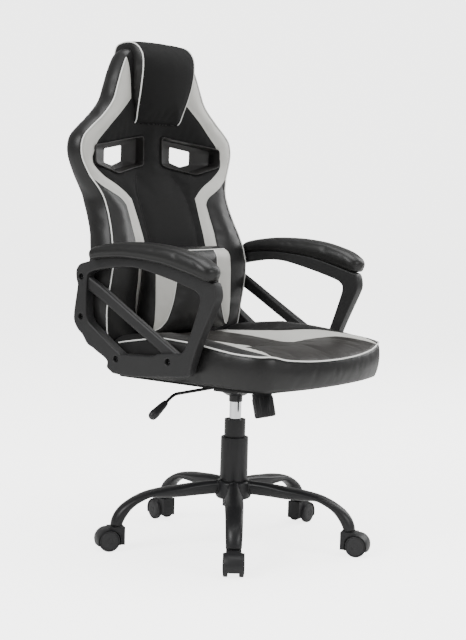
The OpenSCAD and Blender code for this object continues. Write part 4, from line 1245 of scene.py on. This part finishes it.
def head_face(flat, away):
    s, x = flat[:, 0], flat[:, 1]
    y = np.interp(s, head_run, head_both[:, 0])
    z = np.interp(s, head_run, head_both[:, 1])
    dy = np.gradient(head_both[:, 0], head_run)
    dz = np.gradient(head_both[:, 1], head_run)
    out_y = -np.interp(s, head_run, dz)
    out_z = np.interp(s, head_run, dy)
    size = np.sqrt(out_y ** 2 + out_z ** 2) + 1e-9
    bulge = 0.0165 * (1 - np.exp(-away / 0.034)) - 0.0080
    bulge = bulge * np.interp(s, [0, 0.03, 0.15, 0.20, 0.25, 0.30], [0.5, 0.9, 1.0, 0.4, 0.25, 0.25])
    return np.stack([x * head_width(s), y + out_y / size * bulge, z + out_z / size * bulge], axis=1)


def head_under(flat, away):
    s, x = flat[:, 0], flat[:, 1]
    return np.stack([x * 0.985 * head_width(s), np.interp(s, head_run, head_both[:, 2]),
        np.interp(s, head_run, head_both[:, 3])], axis=1)


def head_end(face, under, way, t):
    return face.lerp(under, t) + Vector((way[1], 0, 0)) * 0.0030 * math.sin(math.pi * t)


head_cover, head_sewn = sewn_shell(
    "head_cover", head_outline, [], [], 0.008, head_face, head_under, head_end, 8,
    lambda middle: np.full(len(middle), 1),
    [black_leather, back_fabric])
puff(head_cover, head_sewn, 2.0, 0.0035, slack=0.008)
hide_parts("head_cushion")
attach(head_cover, "seat")
head_edges = []
for side in (-1, 1):
    run = np.array([(k / 80 * head_length, side * 0.0945) for k in range(81)])
    head_edges.append([tuple(p) for p in head_face(run, np.zeros(len(run)))])
head_piping = swept("head_piping", head_edges, 0.0016, piping_vinyl, 10)
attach(head_piping, "seat")

# ---------------------------------------------------------------------------------------------
# Arms
# Glass-filled nylon loops with a rounded brace across each, moulded in one piece and bolted to the
# seat and back. The bolt heads sit deep in round wells.

arm_plastic = grained("arm_plastic", (0.0155, 0.0155, 0.0158), (0.024, 0.024, 0.0245), 0.43, 0.05, 900.0, 0.00028)
arm_outline = smooth_line(mm([
    (222, 668), (240, 662), (250, 650), (251, 635), (248, 622), (246, 612), (253, 570), (256, 548), (255, 530),
    (243, 512), (228, 500), (213, 481),
    (196, 473), (185, 467), (152, 449), (151, 433), (140, 425), (127, 420), (65, 419), (-30, 428), (-78, 433),
    (-89, 441), (-97, 465), (-114, 509),
    (-138, 560), (-156, 597), (-161, 613), (-159, 631), (-153, 643), (-143, 646), (-39, 673), (30, 682), (104, 685),
    (170, 680)]), 0.004, True)
arm_window = smooth_line(mm([
    (217, 634), (209, 644), (193, 650), (150, 658), (110, 663), (59, 662), (-24, 645), (-92, 627), (-110, 618),
    (-116, 606), (-109, 578),
    (-83, 507), (-74, 491), (-60, 483), (-30, 481), (0, 477), (24, 470), (98, 467), (118, 471), (199, 524),
    (212, 537), (217, 552), (218, 596)]), 0.004, True)
arm_brace = smooth_line(mm([
    (-82, 460), (-62, 477), (-40, 490), (60, 547), (168, 610), (206, 630), (226, 640), (230, 622), (226, 607),
    (205, 595), (167, 575), (90, 531),
    (20, 491), (-12, 471), (-40, 457), (-66, 452)]), 0.004, True)
bolt_spots = mm([(235, 634), (235, 542), (124, 454), (-29, 462)])
well_radius = 0.0068
arm_inner, arm_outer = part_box("arm_left")[0].x + 0.007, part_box("arm_left")[1].x


def slab(name, outline, holes, low, high, edge, side, finish):
    """A flat moulding between two X places with rounded rims, cut to an outline in Y and Z."""
    shape = bpy.data.curves.new(name, "CURVE")
    shape.dimensions = "2D"
    shape.fill_mode = "BOTH"
    shape.extrude = (high - low) / 2 - edge
    shape.bevel_depth = edge
    shape.bevel_resolution = 3
    shape.offset = -edge
    for loop, turn in [(outline, 1)] + [(h, -1) for h in holes]:
        p = np.array(loop, float)[:, :2]
        q = np.roll(p, -1, axis=0)
        if np.sum(p[:, 0] * q[:, 1] - q[:, 0] * p[:, 1]) * turn < 0:
            p = p[::-1]
        line = shape.splines.new("POLY")
        line.points.add(len(p) - 1)
        line.points.foreach_set("co", np.column_stack([p, np.zeros(len(p)), np.ones(len(p))]).ravel())
        line.use_cyclic_u = True
    holder = new_object(name + "_shape", shape)
    bpy.context.view_layer.update()
    mesh = bpy.data.meshes.new_from_object(holder.evaluated_get(bpy.context.evaluated_depsgraph_get()))
    bpy.data.objects.remove(holder)
    mesh.name = name
    flat = np.array([v.co for v in mesh.vertices])
    stood = np.column_stack([side * ((low + high) / 2 + flat[:, 2]), flat[:, 0], flat[:, 1]])
    mesh.vertices.foreach_set("co", stood.astype(np.float32).ravel())
    mesh.materials.clear()
    mesh.materials.append(finish)
    made = new_object(name, mesh)
    tidy = bmesh.new()
    tidy.from_mesh(mesh)
    bmesh.ops.remove_doubles(tidy, verts=tidy.verts, dist=0.00002)
    bmesh.ops.recalc_face_normals(tidy, faces=tidy.faces)
    for face in tidy.faces:
        face.smooth = abs(face.normal.x) < 0.999
        face.material_index = 0
    tidy.to_mesh(mesh)
    tidy.free()
    return made


well_turn = [2 * math.pi * k / 28 for k in range(28)]
well_loops = [
    [(y + well_radius * math.cos(a), z + well_radius * math.sin(a)) for a in well_turn] for y, z in bolt_spots
]
for side, node in ((1, "arm_left"), (-1, "arm_right")):
    loop = slab(node.replace("arm", "armrest"), arm_outline, [arm_window] + well_loops, arm_inner, arm_outer, 0.0032,
        side, arm_plastic)
    bar = slab(node.replace("arm", "armrest_brace"), arm_brace, [], arm_inner + 0.003, arm_outer - 0.007, 0.0075,
        side, arm_plastic)
    for part in (loop, bar):
        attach(part, "seat")
    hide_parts(node)

bolt_steel = grained("black_oxide_steel", (0.025, 0.025, 0.026), (0.05, 0.05, 0.052), 0.32, 0.06, 900.0, 0.00003,
    metallic=1.0)
bolt_rings = turned([(0.0001, 0), (0.0061, 0), (0.0063, 0.0004), (0.0063, 0.0032), (0.0058, 0.0042), (0.0048, 0.0048),
    (0.0031, 0.0050)], 24)
hex_radius = 0.0031
hex_rim = [Vector(q[:2]) for q in bolt_rings[-1]]
for z in (0.0049, 0.0022):
    bolt_rings.append([(hex_radius * p.x / p.length, hex_radius * p.y / p.length, z) for p in hex_rim])
bolt_rings += [[(0.0002 * q[0] / hex_radius, 0.0002 * q[1] / hex_radius, 0.0020) for q in bolt_rings[-1]]]
bolt_points, bolt_faces = skin(bolt_rings)
shank_points, shank_faces = skin(turned([(0.003, -0.050), (0.003, 0.001)], 16))
bolt_points = bolt_points + shank_points
bolt_faces = bolt_faces + [tuple(i + len(bolt_points) - len(shank_points) for i in f) for f in shank_faces]
bolt_tree, bolt_in, bolt_out = geometry_tree(
    "bolts_in_wells", [("Turn", "NodeSocketVector", (0.0, 0.0, 0.0)), ("Steel", "NodeSocketMaterial", None),
        ("Bolt", "NodeSocketObject", None)])
b_seed = place_node(bolt_tree, "GeometryNodeObjectInfo")
b_copy = place_node(bolt_tree, "GeometryNodeInstanceOnPoints")
b_real = place_node(bolt_tree, "GeometryNodeRealizeInstances")
b_finish = place_node(bolt_tree, "GeometryNodeSetMaterial")
wire(
    bolt_tree,
    (bolt_in, "Bolt", b_seed, "Object"), (bolt_in, "Geometry", b_copy, "Points"),
    (b_seed, "Geometry", b_copy, "Instance"), (bolt_in, "Turn", b_copy, "Rotation"),
    (b_copy, "Instances", b_real, "Geometry"), (b_real, "Geometry", b_finish, "Geometry"),
    (bolt_in, "Steel", b_finish, "Material"), (b_finish, "Geometry", bolt_out, "Geometry"),
)
one_bolt = outward(piece("one_bolt", bolt_points, bolt_faces, [bolt_steel]))
head_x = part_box("arm_bolts")[1].x - 0.005
for side, name in ((1, "arm_bolts_left"), (-1, "arm_bolts_right")):
    spots = bpy.data.meshes.new(name)
    spots.from_pydata([(side * head_x, y, z) for y, z in bolt_spots], [], [])
    bolts = new_object(name, spots)
    grow(bolts, bolt_tree, Turn=(0.0, side * math.pi / 2, 0.0), Steel=bolt_steel, Bolt=one_bolt)
    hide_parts("arm_bolts")
    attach(bolts, "seat")
bpy.data.objects.remove(one_bolt)

# ---------------------------------------------------------------------------------------------
# Arm pads
# Foam on a plastic tray, wrapped in black PU leather that is gathered over the rounded front and sewn
# to a narrow border just above the arm.

pad_top = mm([(-158, 668), (-155, 675), (-146, 683), (-116, 698), (-54, 713), (0, 718.5), (47, 720), (100, 718.5),
    (140, 714), (175, 708), (192, 702), (195, 697)])
pad_bottom = mm([(-152, 650), (-149, 647), (-143, 646), (-134, 649), (-39, 672), (10, 679), (60, 683), (104, 684),
    (150, 681), (180, 677), (192, 676), (195, 681)])
pad_low, pad_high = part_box("pad_left")[0].x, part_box("pad_left")[1].x
top_line = smooth_line(pad_top, 0.0052)
low_line = smooth_line(pad_bottom, 0.0052)
stations = 74
pad_sides = 44
pad_seam = 0.27  # height of the side seam, as a share of the pad
at = np.linspace(0, 1, stations)
top_line = np.stack([np.interp(at, np.linspace(0, 1, len(top_line)), top_line[:, k]) for k in (0, 1)], axis=1)
low_line = np.stack([np.interp(at, np.linspace(0, 1, len(low_line)), low_line[:, k]) for k in (0, 1)], axis=1)
for side, node in ((1, "pad_left"), (-1, "pad_right")):
    pad_rings = []
    pad_sewn = []
    centre = (pad_low + pad_high) / 2
    for i in range(stations):
        reach = min(np.linalg.norm(top_line[i] - top_line[0]), 0.042) / 0.042
        tail = min(np.linalg.norm(top_line[i] - top_line[-1]), 0.020) / 0.020
        half = (pad_high - pad_low - 0.005) / 2
        half = half * (0.30 + 0.70 * (1 - (1 - reach) ** 2.4) ** 0.5)
        half = half * (0.45 + 0.55 * (1 - (1 - tail) ** 2.4) ** 0.5)
        ring = []
        for k in range(pad_sides):
            a = 2 * math.pi * k / pad_sides
            c, s = math.cos(a), math.sin(a)
            up = 0.5 + 0.5 * math.copysign(abs(s) ** (0.92 if s > 0 else 0.6), s)
            wide = half * math.copysign(abs(c) ** (0.72 if s > 0 else 0.42), c)
            seam = math.exp(-((up - pad_seam) / 0.045) ** 2)
            wide *= 1 - 0.05 * seam - 0.03 * max(0, 0.25 - up) / 0.25
            if abs(up - pad_seam) < 0.09 or up < 0.06:
                pad_sewn.append(i * pad_sides + k)
            y, z = low_line[i] + (top_line[i] - low_line[i]) * up
            ring.append((side * (centre + wide), y, z))
        pad_rings.append(ring)
    pad_points, pad_faces = skin(pad_rings, False)
    for ring, flip in ((0, True), (stations - 1, False)):
        base = ring * pad_sides
        whole = np.mean(pad_rings[ring], axis=0)
        grow_out = np.array([0, -0.0030 if flip else 0.0020, 0])
        rows = [base]
        for share in (0.72, 0.40):
            first = len(pad_points)
            for p in pad_rings[ring]:
                pad_points.append(tuple(whole + (np.array(p) - whole) * share + grow_out * (1 - share)))
            rows.append(first)
        tip = len(pad_points)
        pad_points.append(tuple(whole + grow_out))
        for one, two in zip(rows, rows[1:]):
            for k in range(pad_sides):
                j = (k + 1) % pad_sides
                pad_faces.append((one + k, one + j, two + j, two + k))
        pad_faces += [(rows[-1] + k, rows[-1] + (k + 1) % pad_sides, tip) for k in range(pad_sides)]
    pad = outward(piece(node.replace("pad", "pad_cover"), pad_points, pad_faces, [black_leather]))
    puff(pad, pad_sewn, 1.5, 0.0025, slack=0.002)
    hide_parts(node)
    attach(pad, "seat")
